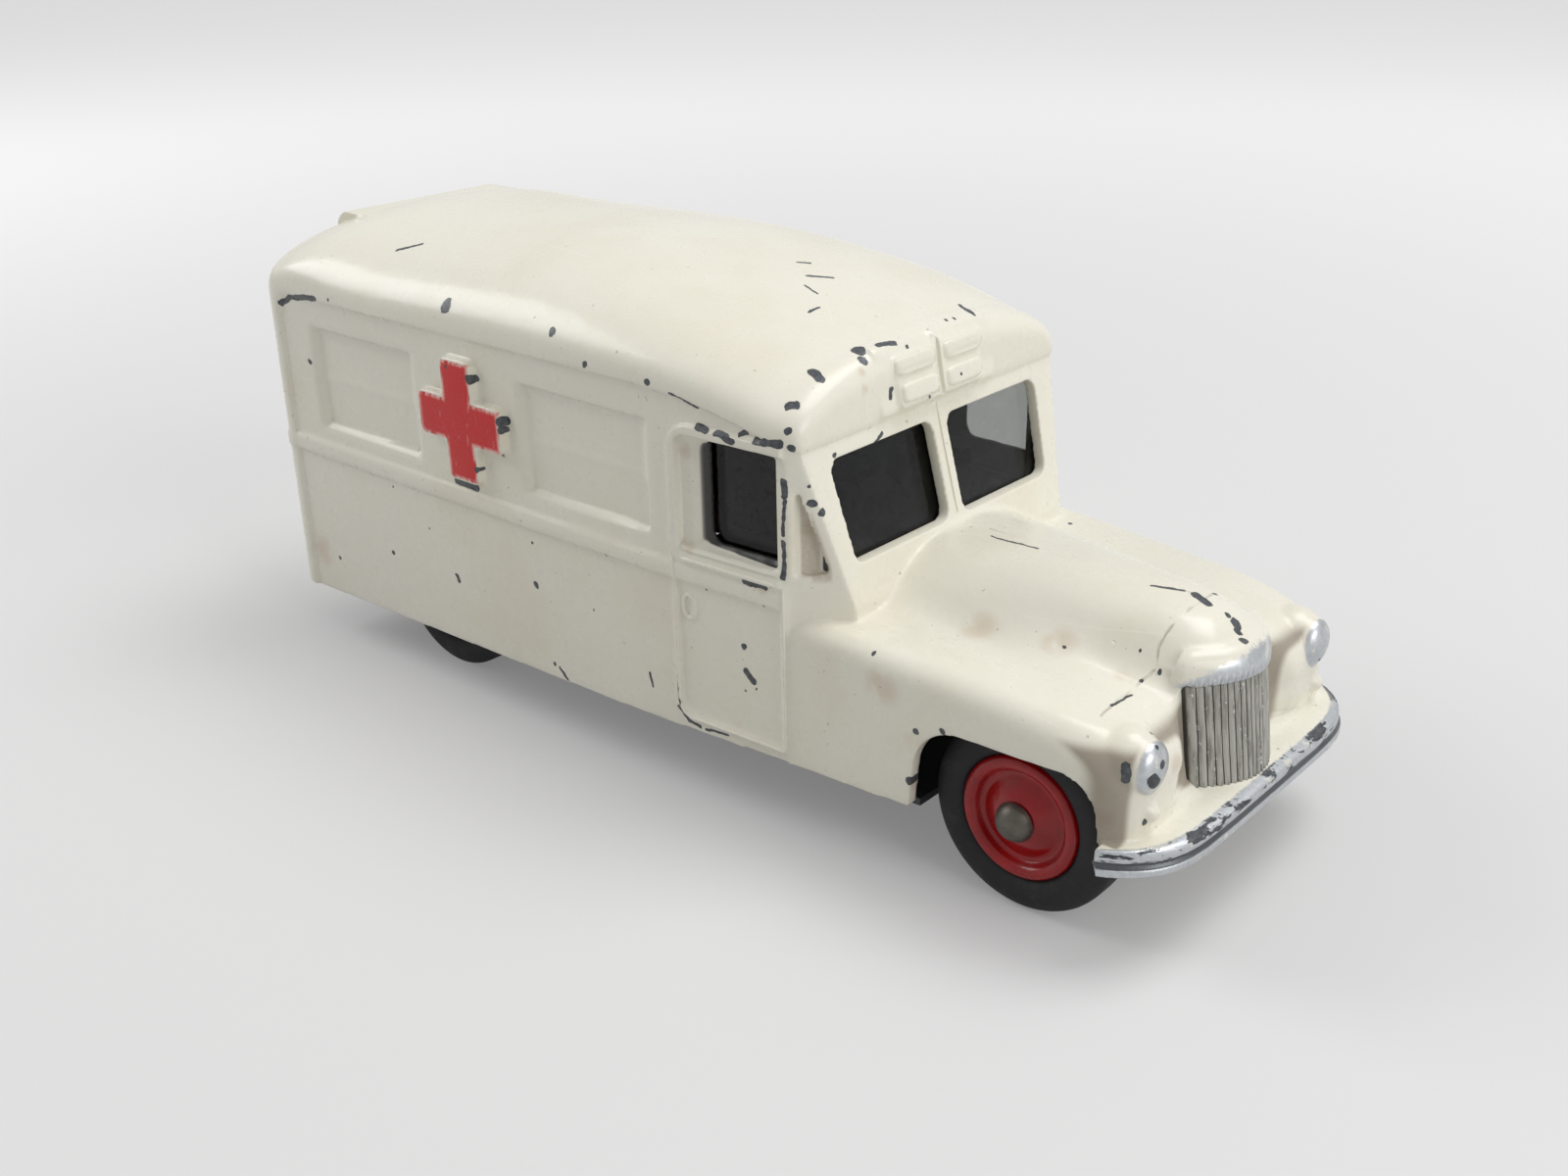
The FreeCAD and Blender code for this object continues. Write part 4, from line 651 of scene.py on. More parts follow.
@dataclass(frozen=True)
class BlackTin:
    """Black japanned tinplate of the base."""

    black: Colour = (0.015, 0.015, 0.016)
    scratched: Colour = (0.16, 0.15, 0.14)

    def make(self) -> Material:
        """Build the material.

        Returns:
            The finished material.
        """
        bench, place = Bench.material("black_tin")
        broad = bench.noise(place, 0.25, 4.0)
        scratch = bench.stretched_noise(place, (0.4, 4.0, 4.0), 4.0).rise(0.62, 0.72) * 0.5
        return bench.surface(Base_Color=bench.mix(scratch, self.black, self.scratched),
                             Roughness=broad * 0.25 + 0.3, Coat_Weight=0.2,
                             Normal=bench.bump(broad, 0.03))


@dataclass(frozen=True)
class ClearGlazing:
    """Clear moulded plastic, a little dulled and dusty."""

    tint: Colour = (0.58, 0.59, 0.58)
    index: float = 1.3

    def make(self) -> Material:
        """Build the material.

        Returns:
            The finished material.
        """
        bench, place = Bench.material("clear_glazing")
        haze = bench.noise(place, 0.25, 1.0)
        return bench.surface(Base_Color=self.tint, Roughness=haze * 0.04, IOR=self.index,
                             Transmission_Weight=1.0, Normal=bench.bump(haze, 0.06))


@dataclass(frozen=True)
class GrillePaint:
    """Grille bars: worn ivory over dark metal, with painted shade between the bars."""

    pale: Colour = (0.44, 0.43, 0.39)
    dull: Colour = (0.24, 0.23, 0.20)
    # painted shade between the bars
    black: Colour = (0.04, 0.036, 0.030)
    metal: Colour = (0.72, 0.72, 0.70)

    def make(self) -> Material:
        """Build the material.

        Returns:
            The finished material.
        """
        bench, place = Bench.material("grille_paint")
        fine = bench.noise(place, 2.6, 4.0)
        streak = bench.stretched_noise(place, (1.0, 3.0, 0.35), 4.0)
        depth = bench.attribute("crease")
        worn = bench.mix(streak.rise(0.4, 0.65), self.pale, self.dull)
        # painted shade: the hollows between the bars darkened towards black
        colour = bench.mix(depth.rise(0.25, 0.7), worn, self.black)
        glint = (streak * 0.6 + fine * 0.5).rise(0.64, 0.70) * (1 - depth)
        return bench.surface(Base_Color=bench.mix(glint, colour, self.metal), Roughness=fine * 0.25 + 0.35,
                             Metallic=glint * 0.8, Normal=bench.bump(fine, 0.03))


@dataclass(frozen=True)
class StudioFloor:
    """Plain pale floor, whose own glow only the backdrop's rays show."""

    base: Colour = (0.55, 0.55, 0.55)
    no_glow: Colour = (0.0, 0.0, 0.0)
    near_glow: Colour = (0.18, 0.18, 0.18)
    far_glow: Colour = (0.46, 0.46, 0.46)
    glow_reach: Pair = (60.0, 420.0)

    def make(self) -> Material:
        """Build the material.

        Returns:
            The finished material.
        """
        bench, place = Bench.material("studio_floor")
        far = bench.vector("LENGTH", place).rise(*self.glow_reach)
        glow = bench.mix(far, self.near_glow, self.far_glow)
        shown = bench.mix(bench.backdrop_rays(), self.no_glow, glow)
        return bench.surface(Base_Color=self.base, Roughness=0.7, Emission_Color=shown,
                             Emission_Strength=1.0)


# Meshes


class Side(Enum):
    """The two sides of the vehicle."""

    LEFT = 1
    RIGHT = -1


def mesh_piece(name: str, mesh: Mesh, material: Material, smooth: bool = True) -> Object:
    """Put a mesh in the scene with its finish.

    Args:
        name: the piece's name.
        mesh: its mesh, in metres.
        material: its finish.
        smooth: whether its faces are shaded smooth.

    Returns:
        The new object.
    """
    piece = bpy.data.objects.new(name, mesh)
    bpy.context.scene.collection.objects.link(piece)
    mesh.materials.clear()
    mesh.materials.append(material)
    mesh.polygons.foreach_set("use_smooth", [smooth] * len(mesh.polygons))
    return piece


def form_mesh(name: str, points: list, faces: list,
              work: Callable[[bmesh.types.BMesh], None] | None = None) -> Mesh:
    """Make a mesh whose faces all look outwards.

    Args:
        name: its name.
        points: its vertices, in metres.
        faces: the corners of its faces.
        work: what is done to it before its faces are turned.

    Returns:
        The mesh.
    """
    mesh = bpy.data.meshes.new(name)
    mesh.from_pydata(points, [], faces)
    form = bmesh.new()
    form.from_mesh(mesh)
    if work:
        work(form)
    bmesh.ops.recalc_face_normals(form, faces=form.faces)
    form.to_mesh(mesh)
    form.free()
    return mesh


def band(rings: int, around: int, looped: bool, first: int = 0) -> list[tuple[int, int, int, int]]:
    """Faces between neighbouring rings of points.

    Args:
        rings: how many rings there are.
        around: how many points each has.
        looped: whether the last ring joins the first.
        first: number of the first point.

    Returns:
        The corners of each face.
    """
    faces = []
    for ring in range(rings if looped else rings - 1):
        near, far = first + ring * around, first + (ring + 1) % rings * around
        for turn in range(around):
            following = (turn + 1) % around
            faces.append((near + turn, near + following, far + following, far + turn))
    return faces


def table(elements: bpy.types.bpy_prop_collection, name: str, width: int = 3,
          kind: type = np.float32) -> np.ndarray:
    """Read one property of a mesh's elements.

    Args:
        elements: the mesh's vertices, edges or the like.
        name: the property.
        width: how many numbers it has.
        kind: their type.

    Returns:
        One row for each element.
    """
    values = np.zeros(len(elements) * width, kind)
    elements.foreach_get(name, values)
    return values.reshape(-1, width)


def write_bends(mesh: Mesh, reach: float, slack: float) -> None:
    """Store how hollow (crease) and how proud (edge) each vertex lies.

    Args:
        mesh: a mesh in metres.
        reach: bend, in height over a neighbour's distance, that counts as full.
        slack: bend that counts as none, so that nearly flat places stay clean.
    """
    points = table(mesh.vertices, "co")
    normals = table(mesh.vertex_normals, "vector")
    ends = table(mesh.edges, "vertices", 2, np.int32)
    lift, total = np.zeros((2, len(points)))
    step = points[ends[:, 1]] - points[ends[:, 0]]
    span = np.linalg.norm(step, axis=1) + TINY
    for near, sign in ((0, 1.0), (1, -1.0)):
        rise = (step * normals[ends[:, near]]).sum(axis=1) * sign / span
        np.add.at(lift, ends[:, near], rise)
        np.add.at(total, ends[:, near], 1.0)
    bend = lift / np.maximum(total, 1)
    for _ in range(2):
        spread = np.zeros(len(points))
        for near, far in ((0, 1), (1, 0)):
            np.add.at(spread, ends[:, near], bend[ends[:, far]])
        bend = bend * 0.5 + spread / np.maximum(total, 1) * 0.5
    for name, values in (("crease", bend), ("edge", -bend)):
        layer = mesh.attributes.new(name, "FLOAT", "POINT")
        layer.data.foreach_set("value", np.clip((values - slack) / reach, 0.0, 1.0).astype(np.float32))


def calm_normals(mesh: Mesh, rounds: int = 5, corner: float = 0.93) -> None:
    """Even out the shading of nearly flat places and leave the bends as they are.

    Args:
        mesh: the mesh to shade.
        rounds: how often each vertex takes its neighbours' mean.
        corner: cosine between two normals from which they stop mixing.
    """
    normals = table(mesh.vertex_normals, "vector")
    near, far = table(mesh.edges, "vertices", 2, np.int32).T
    for _ in range(rounds):
        likeness = (normals[near] * normals[far]).sum(axis=1)
        weight = np.clip((likeness - corner) / (1 - corner), 0.0, 1.0)
        total = normals.copy()
        for axis in range(3):
            total[:, axis] += np.bincount(near, normals[far, axis] * weight, len(normals))
            total[:, axis] += np.bincount(far, normals[near, axis] * weight, len(normals))
        normals = total / np.maximum(np.linalg.norm(total, axis=1, keepdims=True), TINY)
    mesh.normals_split_custom_set_from_vertices(normals)


def smooth_ramp(distance: np.ndarray, width: float) -> np.ndarray:
    """Smooth step from 0 at distance 0 to 1 at the width."""
    share = np.clip(distance / width, 0.0, 1.0)
    return share * share * (3 - 2 * share)


def hump(values: np.ndarray, start: float, stop: float, rise: float, fall: float) -> np.ndarray:
    """Smooth step up from start, and down again to stop."""
    return smooth_ramp(values - start, rise) * smooth_ramp(stop - values, fall)


@dataclass
class BodyCasting:
    """The body casting with the soft edges that casting and thick paint give it."""

    node: str = "body_casting"
    voxel: float = 0.165
    draft_voxel: float = 0.22
    smoothing: int = 3
    keep: float = 0.4
    bend_reach: float = 0.2
    bend_slack: float = 0.1
    side_face: float = 17.6
    panel_rears: Pair = (-40.61, -11.87)
    panel_length: float = 14.96
    panel_low: float = 21.76
    panel_rail: float = 26.59
    panel_high: float = 31.71
    panel_skin: Pair = (16.7, 17.95)
    upper_depth: float = 0.5
    lower_depth: float = 0.52
    board_tilt: float = 0.22
    band_span: Pair = (19.0, 20.6)
    band_front: float = 16.0
    band_lift: float = 0.12
    cheek_front: float = 43.75
    cheek_width: float = 3.6
    cheek_span: Pair = (9.4, 17.3)
    cheek_overlap: float = 0.1

    def build(self, paint: Material) -> Object:
        """Remesh the casting finely and round its edges off.

        Args:
            paint: its finish.

        Returns:
            The piece that stands for the casting.
        """
        source = bpy.data.meshes.new_from_object(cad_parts[self.node])
        source.transform(Matrix.Scale(1 / MM, 4))
        work = bpy.data.objects.new("casting_work", source)
        bpy.context.scene.collection.objects.link(work)
        remesh = work.modifiers.new("remesh", "REMESH")
        remesh.mode = "VOXEL"
        remesh.voxel_size = self.voxel
        smooth = work.modifiers.new("smooth", "SMOOTH")
        smooth.factor, smooth.iterations = 0.5, self.smoothing
        thin = work.modifiers.new("thin", "DECIMATE")
        thin.ratio = self.keep
        graph = bpy.context.evaluated_depsgraph_get()
        mesh = bpy.data.meshes.new_from_object(work.evaluated_get(graph))
        bpy.data.objects.remove(work)
        self.ease_cheeks(mesh)
        self.press_panels(mesh)
        mesh.transform(Matrix.Scale(MM, 4))
        write_bends(mesh, self.bend_reach, self.bend_slack)
        piece = mesh_piece("body_shell", mesh, paint)
        calm_normals(mesh)
        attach(piece, "chassis")
        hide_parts(self.node)
        return piece

    def press_panels(self, mesh: Mesh) -> None:
        """Press the sides' panels in as two overlapping boards and raise the waist band.

        Args:
            mesh: the casting, in millimetres.
        """
        points = table(mesh.vertices, "co")
        x, y, z = points.T
        across = np.abs(y)
        skin = (across > self.panel_skin[0]) & (across < self.panel_skin[1])
        below_top = np.clip((self.panel_high - z) / (self.panel_high - self.panel_rail), 0.0, 1.0)
        below_rail = np.clip((self.panel_rail - z) / (self.panel_rail - self.panel_low), 0.0, 1.0)
        upper = self.upper_depth - self.board_tilt * below_top
        lower = self.lower_depth + self.board_tilt * below_rail
        step = smooth_ramp(self.panel_rail - z, 0.35)
        depth = np.zeros(len(points), np.float32)
        for rear in self.panel_rears:
            slope = hump(x, rear, rear + self.panel_length, 0.8, 0.6)
            slope *= hump(z, self.panel_low, self.panel_high, 1.0, 0.45)
            depth = np.maximum(depth, slope * (upper * (1 - step) + lower * step))
        pressed = skin & (depth > 0.01)
        across[pressed] = np.minimum(across, self.side_face - depth)[pressed]
        raised = hump(z, *self.band_span, 0.3, 0.3) * smooth_ramp(self.band_front - x, 0.4)
        across[skin] += (raised * self.band_lift)[skin]
        points[:, 1] = np.copysign(across, y)
        mesh.vertices.foreach_set("co", points.ravel())

    def ease_cheeks(self, mesh: Mesh) -> None:
        """Lay the nose's cheeks just behind the grille's edges, so that the bars stand proud of them.

        Args:
            mesh: the casting, in millimetres.
        """
        points = table(mesh.vertices, "co")
        x, y, z = points.T
        across = np.abs(y)
        edge = self.cheek_front - GRILLE_LEAN * (z - GRILLE_LOW)
        share = smooth_ramp(across - GRILLE_HALF_WIDTH, self.cheek_width)
        low, high = self.cheek_span
        upright = np.clip((z - low) / 0.7, 0.0, 1.0) * np.clip((high - z) / 0.5, 0.0, 1.0)
        near = (across > GRILLE_HALF_WIDTH - self.cheek_overlap) & (x > edge)
        x[near] -= ((x - edge) * (1 - share) * upright)[near]
        mesh.vertices.foreach_set("co", points.ravel())


@dataclass(frozen=True)
class Bead:
    """A thin raised bead along a line on the casting's side, laid by rays from clear of it."""

    name: str
    route: tuple[Pair, ...]
    radius: float = 0.17
    closed: bool = False
    step: float = 0.35
    around: int = 10
    clear: float = 30.0
    sunk_share: float = 0.3

    def stations(self) -> list[Vector]:
        """Lay points along the line, close together.

        Returns:
            The points, as X and Z.
        """
        corners = [Vector(point) for point in self.route]
        if self.closed:
            corners.append(corners[0])
        made = []
        for near, far in zip(corners, corners[1:]):
            pieces = max(1, round((far - near).length / self.step))
            made += [near.lerp(far, index / pieces) for index in range(pieces)]
        return made if self.closed else made + [corners[-1]]

    def build(self, skin: BVHTree, side: Side, paint: Material) -> Object:
        """Sweep the bead over the casting's skin.

        Args:
            skin: the casting's surface, in metres.
            side: the side it lies on.
            paint: its finish.

        Returns:
            The bead.
        """
        outward = Vector((0.0, side.value, 0.0))
        centres = []
        for station in self.stations():
            start = Vector((station.x, side.value * self.clear, station.y)) * MM
            touch = skin.ray_cast(start, -outward)[0]
            centres.append(touch / MM - outward * self.radius * self.sunk_share)
        count = len(centres)
        points = []
        for index, centre in enumerate(centres):
            last = (index + 1) % count if self.closed else min(index + 1, count - 1)
            first = index - 1 if self.closed or index else 0
            along = (centres[last] - centres[first]).normalized()
            level = along.cross(outward).normalized()
            share = 1.0 if self.closed else min(1.0, 0.4 + 0.3 * min(index, count - 1 - index))
            for turn in range(self.around):
                angle = 2 * math.pi * turn / self.around
                lift = outward * math.cos(angle) + level * math.sin(angle)
                points.append((centre + lift * self.radius * share) * MM)
        faces = band(count, self.around, self.closed)
        if not self.closed:
            faces += [tuple(range(self.around)), tuple(range((count - 1) * self.around, count * self.around))]
        mesh = form_mesh(self.name, points, faces)
        piece = mesh_piece(f"{self.name}_{side.name.lower()}", mesh, paint)
        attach(piece, "chassis")
        return piece


@dataclass(frozen=True)
class Pad:
    """A raised pillow on the casting's front, laid over an oblong by rays from clear of it."""

    name: str
    centre: Pair
    half_width: float
    half_height: float
    lift: float = 0.3
    squareness: float = 5.0
    rim_depth: float = 0.12
    around: int = 48
    rings: int = 7
    clear: float = 60.0

    def build(self, skin: BVHTree, paint: Material) -> Object:
        """Raise the pillow from the casting's skin.

        Args:
            skin: the casting's surface, in metres.
            paint: its finish.

        Returns:
            The pad.
        """
        points = [self.point(skin, 0.0, 0.0, 0.0)]
        for ring in range(1, self.rings + 1):
            for turn in range(self.around):
                angle = 2 * math.pi * turn / self.around
                points.append(self.point(skin, (ring / self.rings) ** 0.6, math.cos(angle), math.sin(angle)))
        faces = [(0, 1 + turn, 1 + (turn + 1) % self.around) for turn in range(self.around)]
        faces += [(a, d, c, b) for a, b, c, d in band(self.rings, self.around, False, 1)]
        mesh = bpy.data.meshes.new(self.name)
        mesh.from_pydata(points, [], faces)
        piece = mesh_piece(self.name, mesh, paint)
        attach(piece, "chassis")
        return piece

    def point(self, skin: BVHTree, reach: float, level: float, plumb: float) -> Vector:
        """Find a point of the pillow.

        Args:
            skin: the casting's surface, in metres.
            reach: its share of the way out.
            level: the direction's share across the vehicle.
            plumb: the direction's share upwards.

        Returns:
            The point, in metres.
        """
        power = self.squareness
        round_off = (abs(level) ** power + abs(plumb) ** power) ** (1 / power) if reach else 1.0
        y = self.centre[0] + self.half_width * reach * level / round_off
        z = self.centre[1] + self.half_height * reach * plumb / round_off
        touch = skin.ray_cast(Vector((self.clear, y, z)) * MM, Vector((-1.0, 0.0, 0.0)))[0]
        rise = self.lift * math.sqrt(max(0.0, 1 - reach ** 6)) - self.rim_depth * (reach > 0.99)
        return touch + Vector((rise, 0.0, rise * 0.3)) * MM


FRONT_PADS = (
    Pad("board_pad_upper_left", (3.05, 35.25), 2.6, 0.72),
    Pad("board_pad_upper_right", (-3.05, 35.25), 2.6, 0.72),
    Pad("board_pad_lower_left", (2.8, 33.2), 2.35, 0.78),
    Pad("board_pad_lower_right", (-2.8, 33.2), 2.35, 0.78),
    Pad("board_centre_bead", (0.0, 34.3), 0.2, 2.3, 0.3, 2.5),
    Pad("pillar_bead", (0.0, 27.0), 0.14, 4.6, 0.14, 2.5),
)


def oval(centre: Pair, wide: float, high: float, steps: int = 28) -> tuple[Pair, ...]:
    """Points round an oval."""
    turns = [2 * math.pi * step / steps for step in range(steps)]
    return tuple((centre[0] + wide * math.cos(turn), centre[1] + high * math.sin(turn)) for turn in turns)


SIDE_BEADS = (
    Bead("door_outline", ((5.37, 21.0), (5.37, 8.8), (5.5, 8.0), (5.9, 7.5), (6.6, 7.22), (16.12, 7.22),
                          (16.12, 21.0)), 0.15),
    Bead("door_handle", oval((6.6, 16.95), 0.66, 0.98), 0.24, True, 0.2),
    Bead("sill_bead_low", ((6.2, 21.07), (15.8, 21.07)), 0.2),
    Bead("sill_bead_high", ((6.2, 21.87), (15.8, 21.87)), 0.2),
)


@dataclass
class Lathe:
    """A turned form: a profile of radii and heights spun about the vehicle's Y direction."""

    profile: list[Pair]
    turns: int = 96

    def mesh(self, name: str, x: float, y: float, z: float, side: Side) -> Mesh:
        """Spin the profile.

        Args:
            name: the mesh's name.
            x: place of the centre along the vehicle, in millimetres.
            y: place across it.
            z: height of it.
            side: which way the profile's heights point.

        Returns:
            The closed mesh, in metres.
        """
        points = []
        for turn in range(self.turns):
            angle = 2 * math.pi * turn / self.turns
            for radius, height in self.profile:
                points.append(((x + radius * math.cos(angle)) * MM, (y + height * side.value) * MM,
                               (z + radius * math.sin(angle)) * MM))
        faces = band(self.turns, len(self.profile), True)
        return form_mesh(name, points, faces,
                         lambda form: bmesh.ops.remove_doubles(form, verts=form.verts, dist=1e-7))


def rounded(points: list[Pair], radius: float, steps: int) -> list[Pair]:
    """Round every corner of a closed profile.

    Args:
        points: the profile's corners.
        radius: the largest radius of a corner, less where its sides are short.
        steps: points on each corner.

    Returns:
        The rounded profile.
    """
    made: list[Pair] = []
    for index, corner in enumerate(points):
        here = Vector(corner)
        before = Vector(points[index - 1]) - here
        after = Vector(points[(index + 1) % len(points)]) - here
        reach = min(radius, before.length * 0.45, after.length * 0.45)
        start, stop = here + before.normalized() * reach, here + after.normalized() * reach
        for step in range(steps):
            share = step / (steps - 1)
            bent = start * (1 - share) ** 2 + here * (2 * share * (1 - share)) + stop * share ** 2
            made.append((bent.x, bent.y))
    return made


@dataclass
class Wheel:
    """One wheel: a pressed red disc and its rubber tyre."""

    name: str
    x: float
    track: float
    side: Side
    radius: float = 7.55
    disc: list[Pair] = field(default_factory=lambda: [
        (0.8, -1.9), (4.35, -1.9), (4.35, 1.25), (4.85, 1.25), (4.83, 1.75), (4.57, 2.02), (4.15, 2.05),
        (3.83, 1.85), (3.57, 1.28), (3.15, 1.24), (2.6, 1.62), (1.9, 2.05), (1.35, 2.25), (0.8, 2.25)])
    tyre: list[Pair] = field(default_factory=lambda: [
        (4.35, -1.9), (4.35, 1.25), (4.85, 1.25), (4.85, 1.64), (5.2, 1.9), (5.85, 2.02), (6.5, 1.98),
        (7.02, 1.72), (7.36, 1.43), (7.52, 1.08), (7.55, 0.6), (7.55, -0.6), (7.52, -1.08), (7.36, -1.43),
        (7.02, -1.72), (6.5, -1.98), (5.85, -2.02), (4.95, -1.98)])

    def build(self, red: Material, rubber: Material) -> list[Object]:
        """Turn the disc and the tyre.

        Args:
            red: finish of the disc.
            rubber: finish of the tyre.

        Returns:
            The two pieces.
        """
        y = self.track / 2 * self.side.value
        made = []
        for kind, profile, radius, finish, slot in (("hub", self.disc, 0.16, red, "hub_paint"),
                                                    ("tyre", self.tyre, 0.2, rubber, "tyre_rubber")):
            label = f"{self.name}_{kind}"
            mesh = Lathe(rounded(profile, radius, 3)).mesh(label, self.x, y, self.radius, self.side)
            piece = mesh_piece(f"{label}_turned", mesh, finish)
            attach(piece, f"{self.name}_wheel")
            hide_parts(label)
            made.append(piece)
        return made


# Each pair of wheels: its end, its place along the vehicle and its track.
WHEELS = (("front", 35.5, 24.5), ("rear", -28.1, 25.2))


@dataclass
class GrilleBars:
    """Twenty-two upright bars on the grille's convex face, which leans back."""

    count: int = 22
    high: float = 17.02
    front: float = 46.78
    bend: float = 0.0943
    depth: float = 0.3
    sheet: float = 0.12
    knock: float = 0.05
    across: int = 8
    up: int = 24
    wrap: float = 1.2

    def build(self, finish: Material) -> Object:
        """Lay a fluted sheet over the grille's face.

        Args:
            finish: finish of the bars.

        Returns:
            The sheet with its bars.
        """
        columns = self.count * self.across
        face_stations = [(column, 0.0) for column in range(columns + 1)]
        stations = [(0, self.wrap), *face_stations, (columns, self.wrap)]
        points, hollow = [], []
        for column, setback in stations:
            y = GRILLE_HALF_WIDTH * (2 * column / columns - 1)
            sweep = self.bend * y * y
            ridge = abs(math.sin(math.pi * column / self.across)) ** 0.6
            for row in range(self.up + 1):
                z = GRILLE_LOW + (self.high - GRILLE_LOW) * row / self.up
                dent = noise.noise(Vector((y * 1.1, z * 0.35, 3.0))) * self.knock
                shift = noise.noise(Vector((y * 0.6, z * 0.4, 7.0))) * self.knock
                face = self.front - GRILLE_LEAN * (z - GRILLE_LOW) - sweep
                face += (ridge - 1) * self.depth + dent
                points.append(((face - setback) * MM, (y + shift) * MM, z * MM))
                hollow.append(0.2 if setback else 1 - ridge)
        rows = self.up + 1
        faces = [(c * rows + r, c * rows + r + 1, (c + 1) * rows + r + 1, (c + 1) * rows + r)
                 for c in range(len(stations) - 1) for r in range(self.up)]

        def thicken(form: bmesh.types.BMesh) -> None:
            """Store how hollow each point lies, then give the sheet its thickness.

            Args:
                form: the sheet.
            """
            layer = form.verts.layers.float.new("crease")
            for corner, value in zip(form.verts, hollow):
                corner[layer] = value
            bmesh.ops.solidify(form, geom=form.faces[:], thickness=self.sheet * MM)

        mesh = form_mesh("grille_bars", points, faces, thicken)
        piece = mesh_piece("grille_bars", mesh, finish)
        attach(piece, "chassis")
        return piece


def dress(node: str, material: Material, smooth_angle: float = 35.0) -> None:
    """Give a CAD node that stays in view its finish, shaded smooth up to an angle.

    Args:
        node: the node's name.
        material: its finish.
        smooth_angle: the largest bend, in degrees, that is shaded smooth.
    """
    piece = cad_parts[node]
    piece.data.materials.clear()
    piece.data.materials.append(material)
    piece.data.polygons.foreach_set("use_smooth", [True] * len(piece.data.polygons))
    sharp = [False] * len(piece.data.edges)
    form = bmesh.new()
    form.from_mesh(piece.data)
    for edge in form.edges:
        if len(edge.link_faces) != 2 or edge.calc_face_angle(0.0) > math.radians(smooth_angle):
            sharp[edge.index] = True
    form.free()
    attributes = piece.data.attributes
    layer = attributes.get("sharp_edge") or attributes.new("sharp_edge", "BOOLEAN", "EDGE")
    layer.data.foreach_set("value", sharp)


@dataclass(frozen=True)
class Softbox:
    """A square lamp that looks at the toy, with its places in metres."""

    name: str
    place: Triple
    width: float
    power: float
    aim: Triple = (0.0, 0.0, 0.02)

    def build(self) -> None:
        """Hang the lamp."""
        lamp = bpy.data.lights.new(self.name, "AREA")
        lamp.size, lamp.energy = self.width, self.power
        holder = bpy.data.objects.new(self.name, lamp)
        holder.location = self.place
        holder.rotation_mode = "QUATERNION"
        holder.rotation_quaternion = (Vector(self.aim) - Vector(self.place)).to_track_quat("-Z", "Y")
        bpy.context.scene.collection.objects.link(holder)


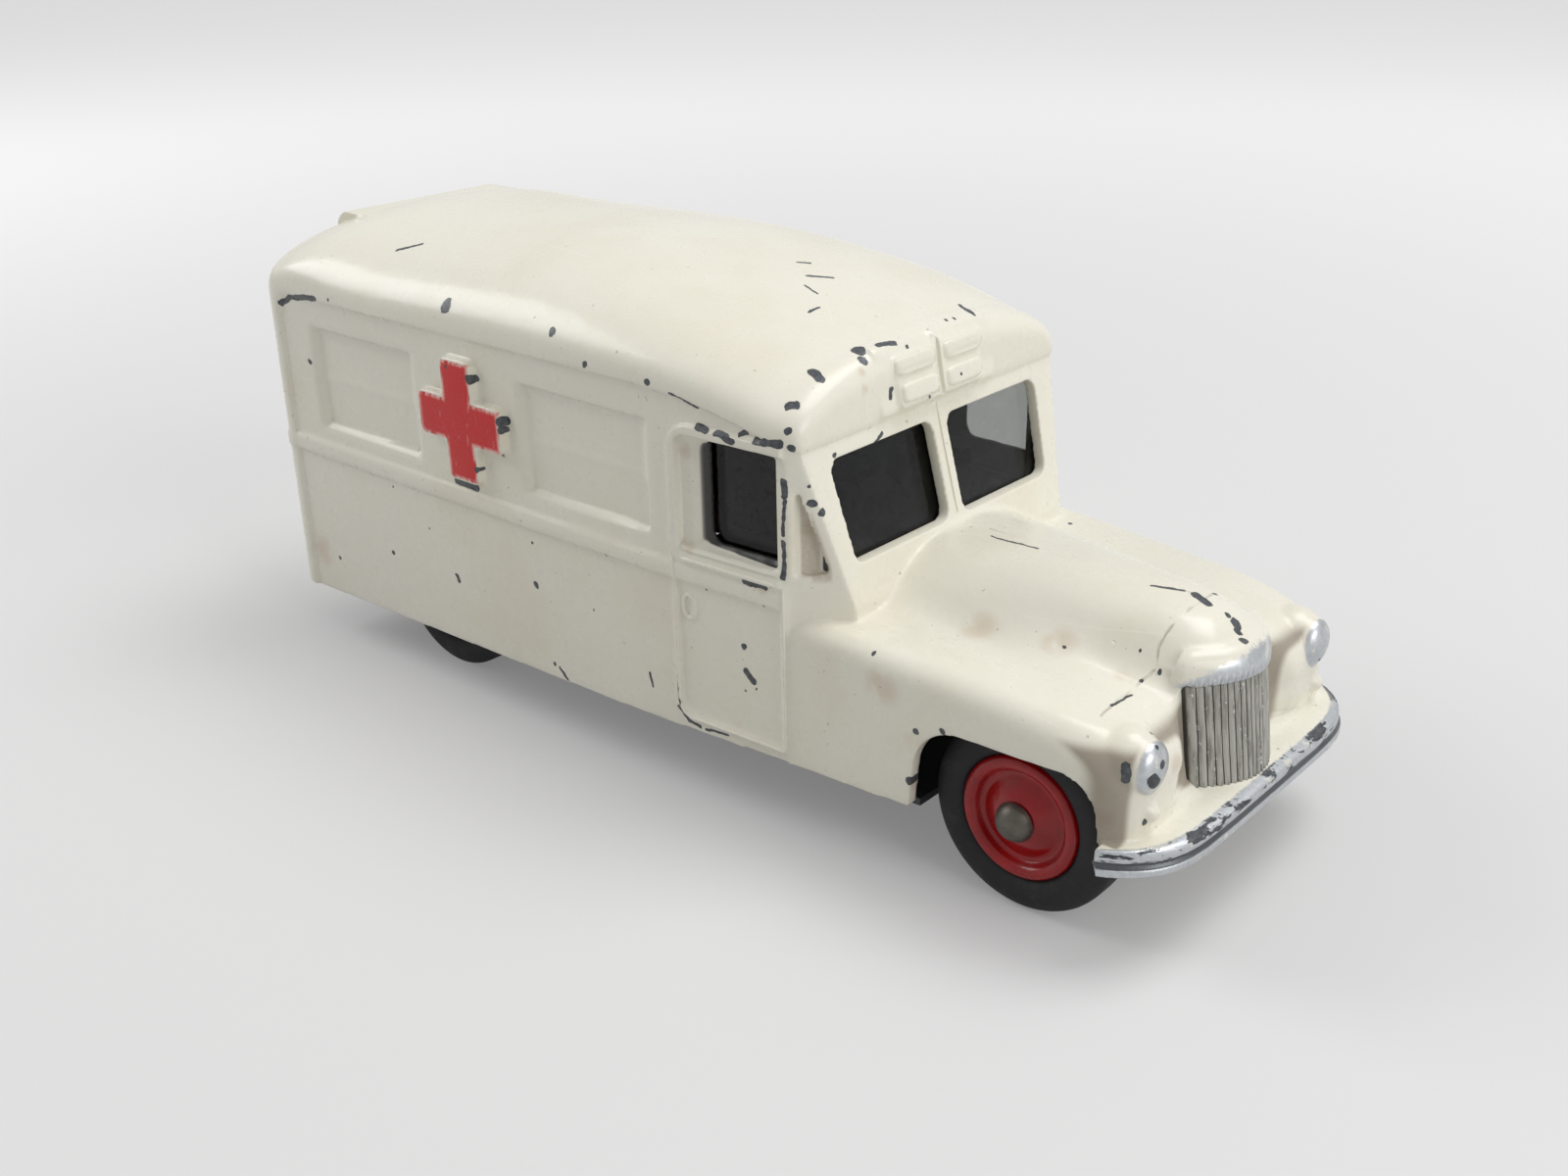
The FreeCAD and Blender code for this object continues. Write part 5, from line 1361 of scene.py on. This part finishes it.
@dataclass
class Studio:
    """Floor, lamps, pale surroundings and the camera at the photograph's angle."""

    focal_pixels: float = 1697.0
    frame_pixels: float = 1600.0
    sensor: float = 36.0
    place: Triple = (90.480, -100.264, 70.544)
    yaw: float = 0.72785
    pitch: float = 0.41732
    roll: float = -0.019226
    floor_reach: float = 3.0
    world_light: Colour = (0.34, 0.34, 0.34)
    world_seen: Colour = (0.62, 0.62, 0.63)
    lamps: tuple[Softbox, ...] = (
        Softbox("high_key", (0.12, 0.16, 0.44), 0.26, 1.1),
        Softbox("front_fill", (0.45, -0.02, 0.24), 0.26, 0.75),
        Softbox("side_rake", (-0.42, -0.16, 0.33), 0.26, 0.95),
    )

    def build(self) -> None:
        """Set up the whole studio."""
        scene = bpy.context.scene
        scene.view_settings.view_transform = "Standard"
        mesh = bpy.data.meshes.new("studio_floor")
        corners = [(x * self.floor_reach, y * self.floor_reach, 0.0)
                   for x, y in ((-1, -1), (1, -1), (1, 1), (-1, 1))]
        mesh.from_pydata(corners, [], [(0, 1, 2, 3)])
        floor = mesh_piece("studio_floor", mesh, StudioFloor().make(), False)
        for lamp in self.lamps:
            lamp.build()
        self.surroundings(scene)
        self.camera(scene)

    def surroundings(self, scene: Scene) -> None:
        """Even light from all round, paler where the backdrop itself is seen.

        Args:
            scene: the scene to light.
        """
        bench = Bench(bpy.data.worlds.new("surroundings"))
        shade = bench.mix(bench.backdrop_rays(), self.world_light, self.world_seen)
        light = bench.signal("ShaderNodeBackground", 0, None, {"Color": shade, "Strength": 1.0})
        bench.add("ShaderNodeOutputWorld", None, {"Surface": light})
        scene.world = bench.owner

    def camera(self, scene: Scene) -> None:
        """Place the camera.

        Args:
            scene: the scene that looks through it.
        """
        lens = bpy.data.cameras.new("camera")
        lens.sensor_width = self.sensor
        lens.lens = self.focal_pixels * self.sensor / self.frame_pixels
        lens.clip_start, lens.clip_end = 0.001, 20.0
        holder = bpy.data.objects.new("camera", lens)
        right = Vector((math.cos(self.yaw), math.sin(self.yaw), 0))
        ahead = Vector((-math.sin(self.yaw) * math.cos(self.pitch),
                        math.cos(self.yaw) * math.cos(self.pitch), -math.sin(self.pitch)))
        down = ahead.cross(right)
        level = right * math.cos(self.roll) - down * math.sin(self.roll)
        plumb = right * math.sin(self.roll) + down * math.cos(self.roll)
        scene.collection.objects.link(holder)
        turned = Matrix((level, -plumb, -ahead)).transposed().to_4x4()
        holder.matrix_world = Matrix.Translation(Vector(self.place) * MM) @ turned
        scene.camera = holder


def main() -> None:
    """Build the pieces in order and report each one."""
    logging.basicConfig(level=logging.INFO, format="%(name)s: %(message)s")
    Studio().build()
    LOG.info("studio is set up")
    shell = BodyCasting().build(CastPaint().make())
    LOG.info("%s has %d faces", shell.name, len(shell.data.polygons))
    skin = BVHTree.FromObject(shell, bpy.context.evaluated_depsgraph_get())
    for bead in SIDE_BEADS:
        for side in Side:
            LOG.info("built %s", bead.build(skin, side, shell.data.materials[0]).name)
    for pad in FRONT_PADS:
        LOG.info("built %s", pad.build(skin, shell.data.materials[0]).name)
    bars = GrilleBars().build(GrillePaint().make())
    LOG.info("%s has %d faces", bars.name, len(bars.data.polygons))
    red, rubber = HubPaint().make(), TyreRubber().make()
    for end, x, track in WHEELS:
        for side in Side:
            pieces = Wheel(f"{end}_{side.name.lower()}", x, track, side).build(red, rubber)
            LOG.info("built %s", ", ".join(piece.name for piece in pieces))
    steel = AxleSteel().make()
    for node, finish in (("front_axle", steel), ("rear_axle", steel), ("base_plate", BlackTin().make()),
                         ("glazing", ClearGlazing().make())):
        dress(node, finish)
        LOG.info("dressed %s", node)


if __name__ == "__main__":
    main()
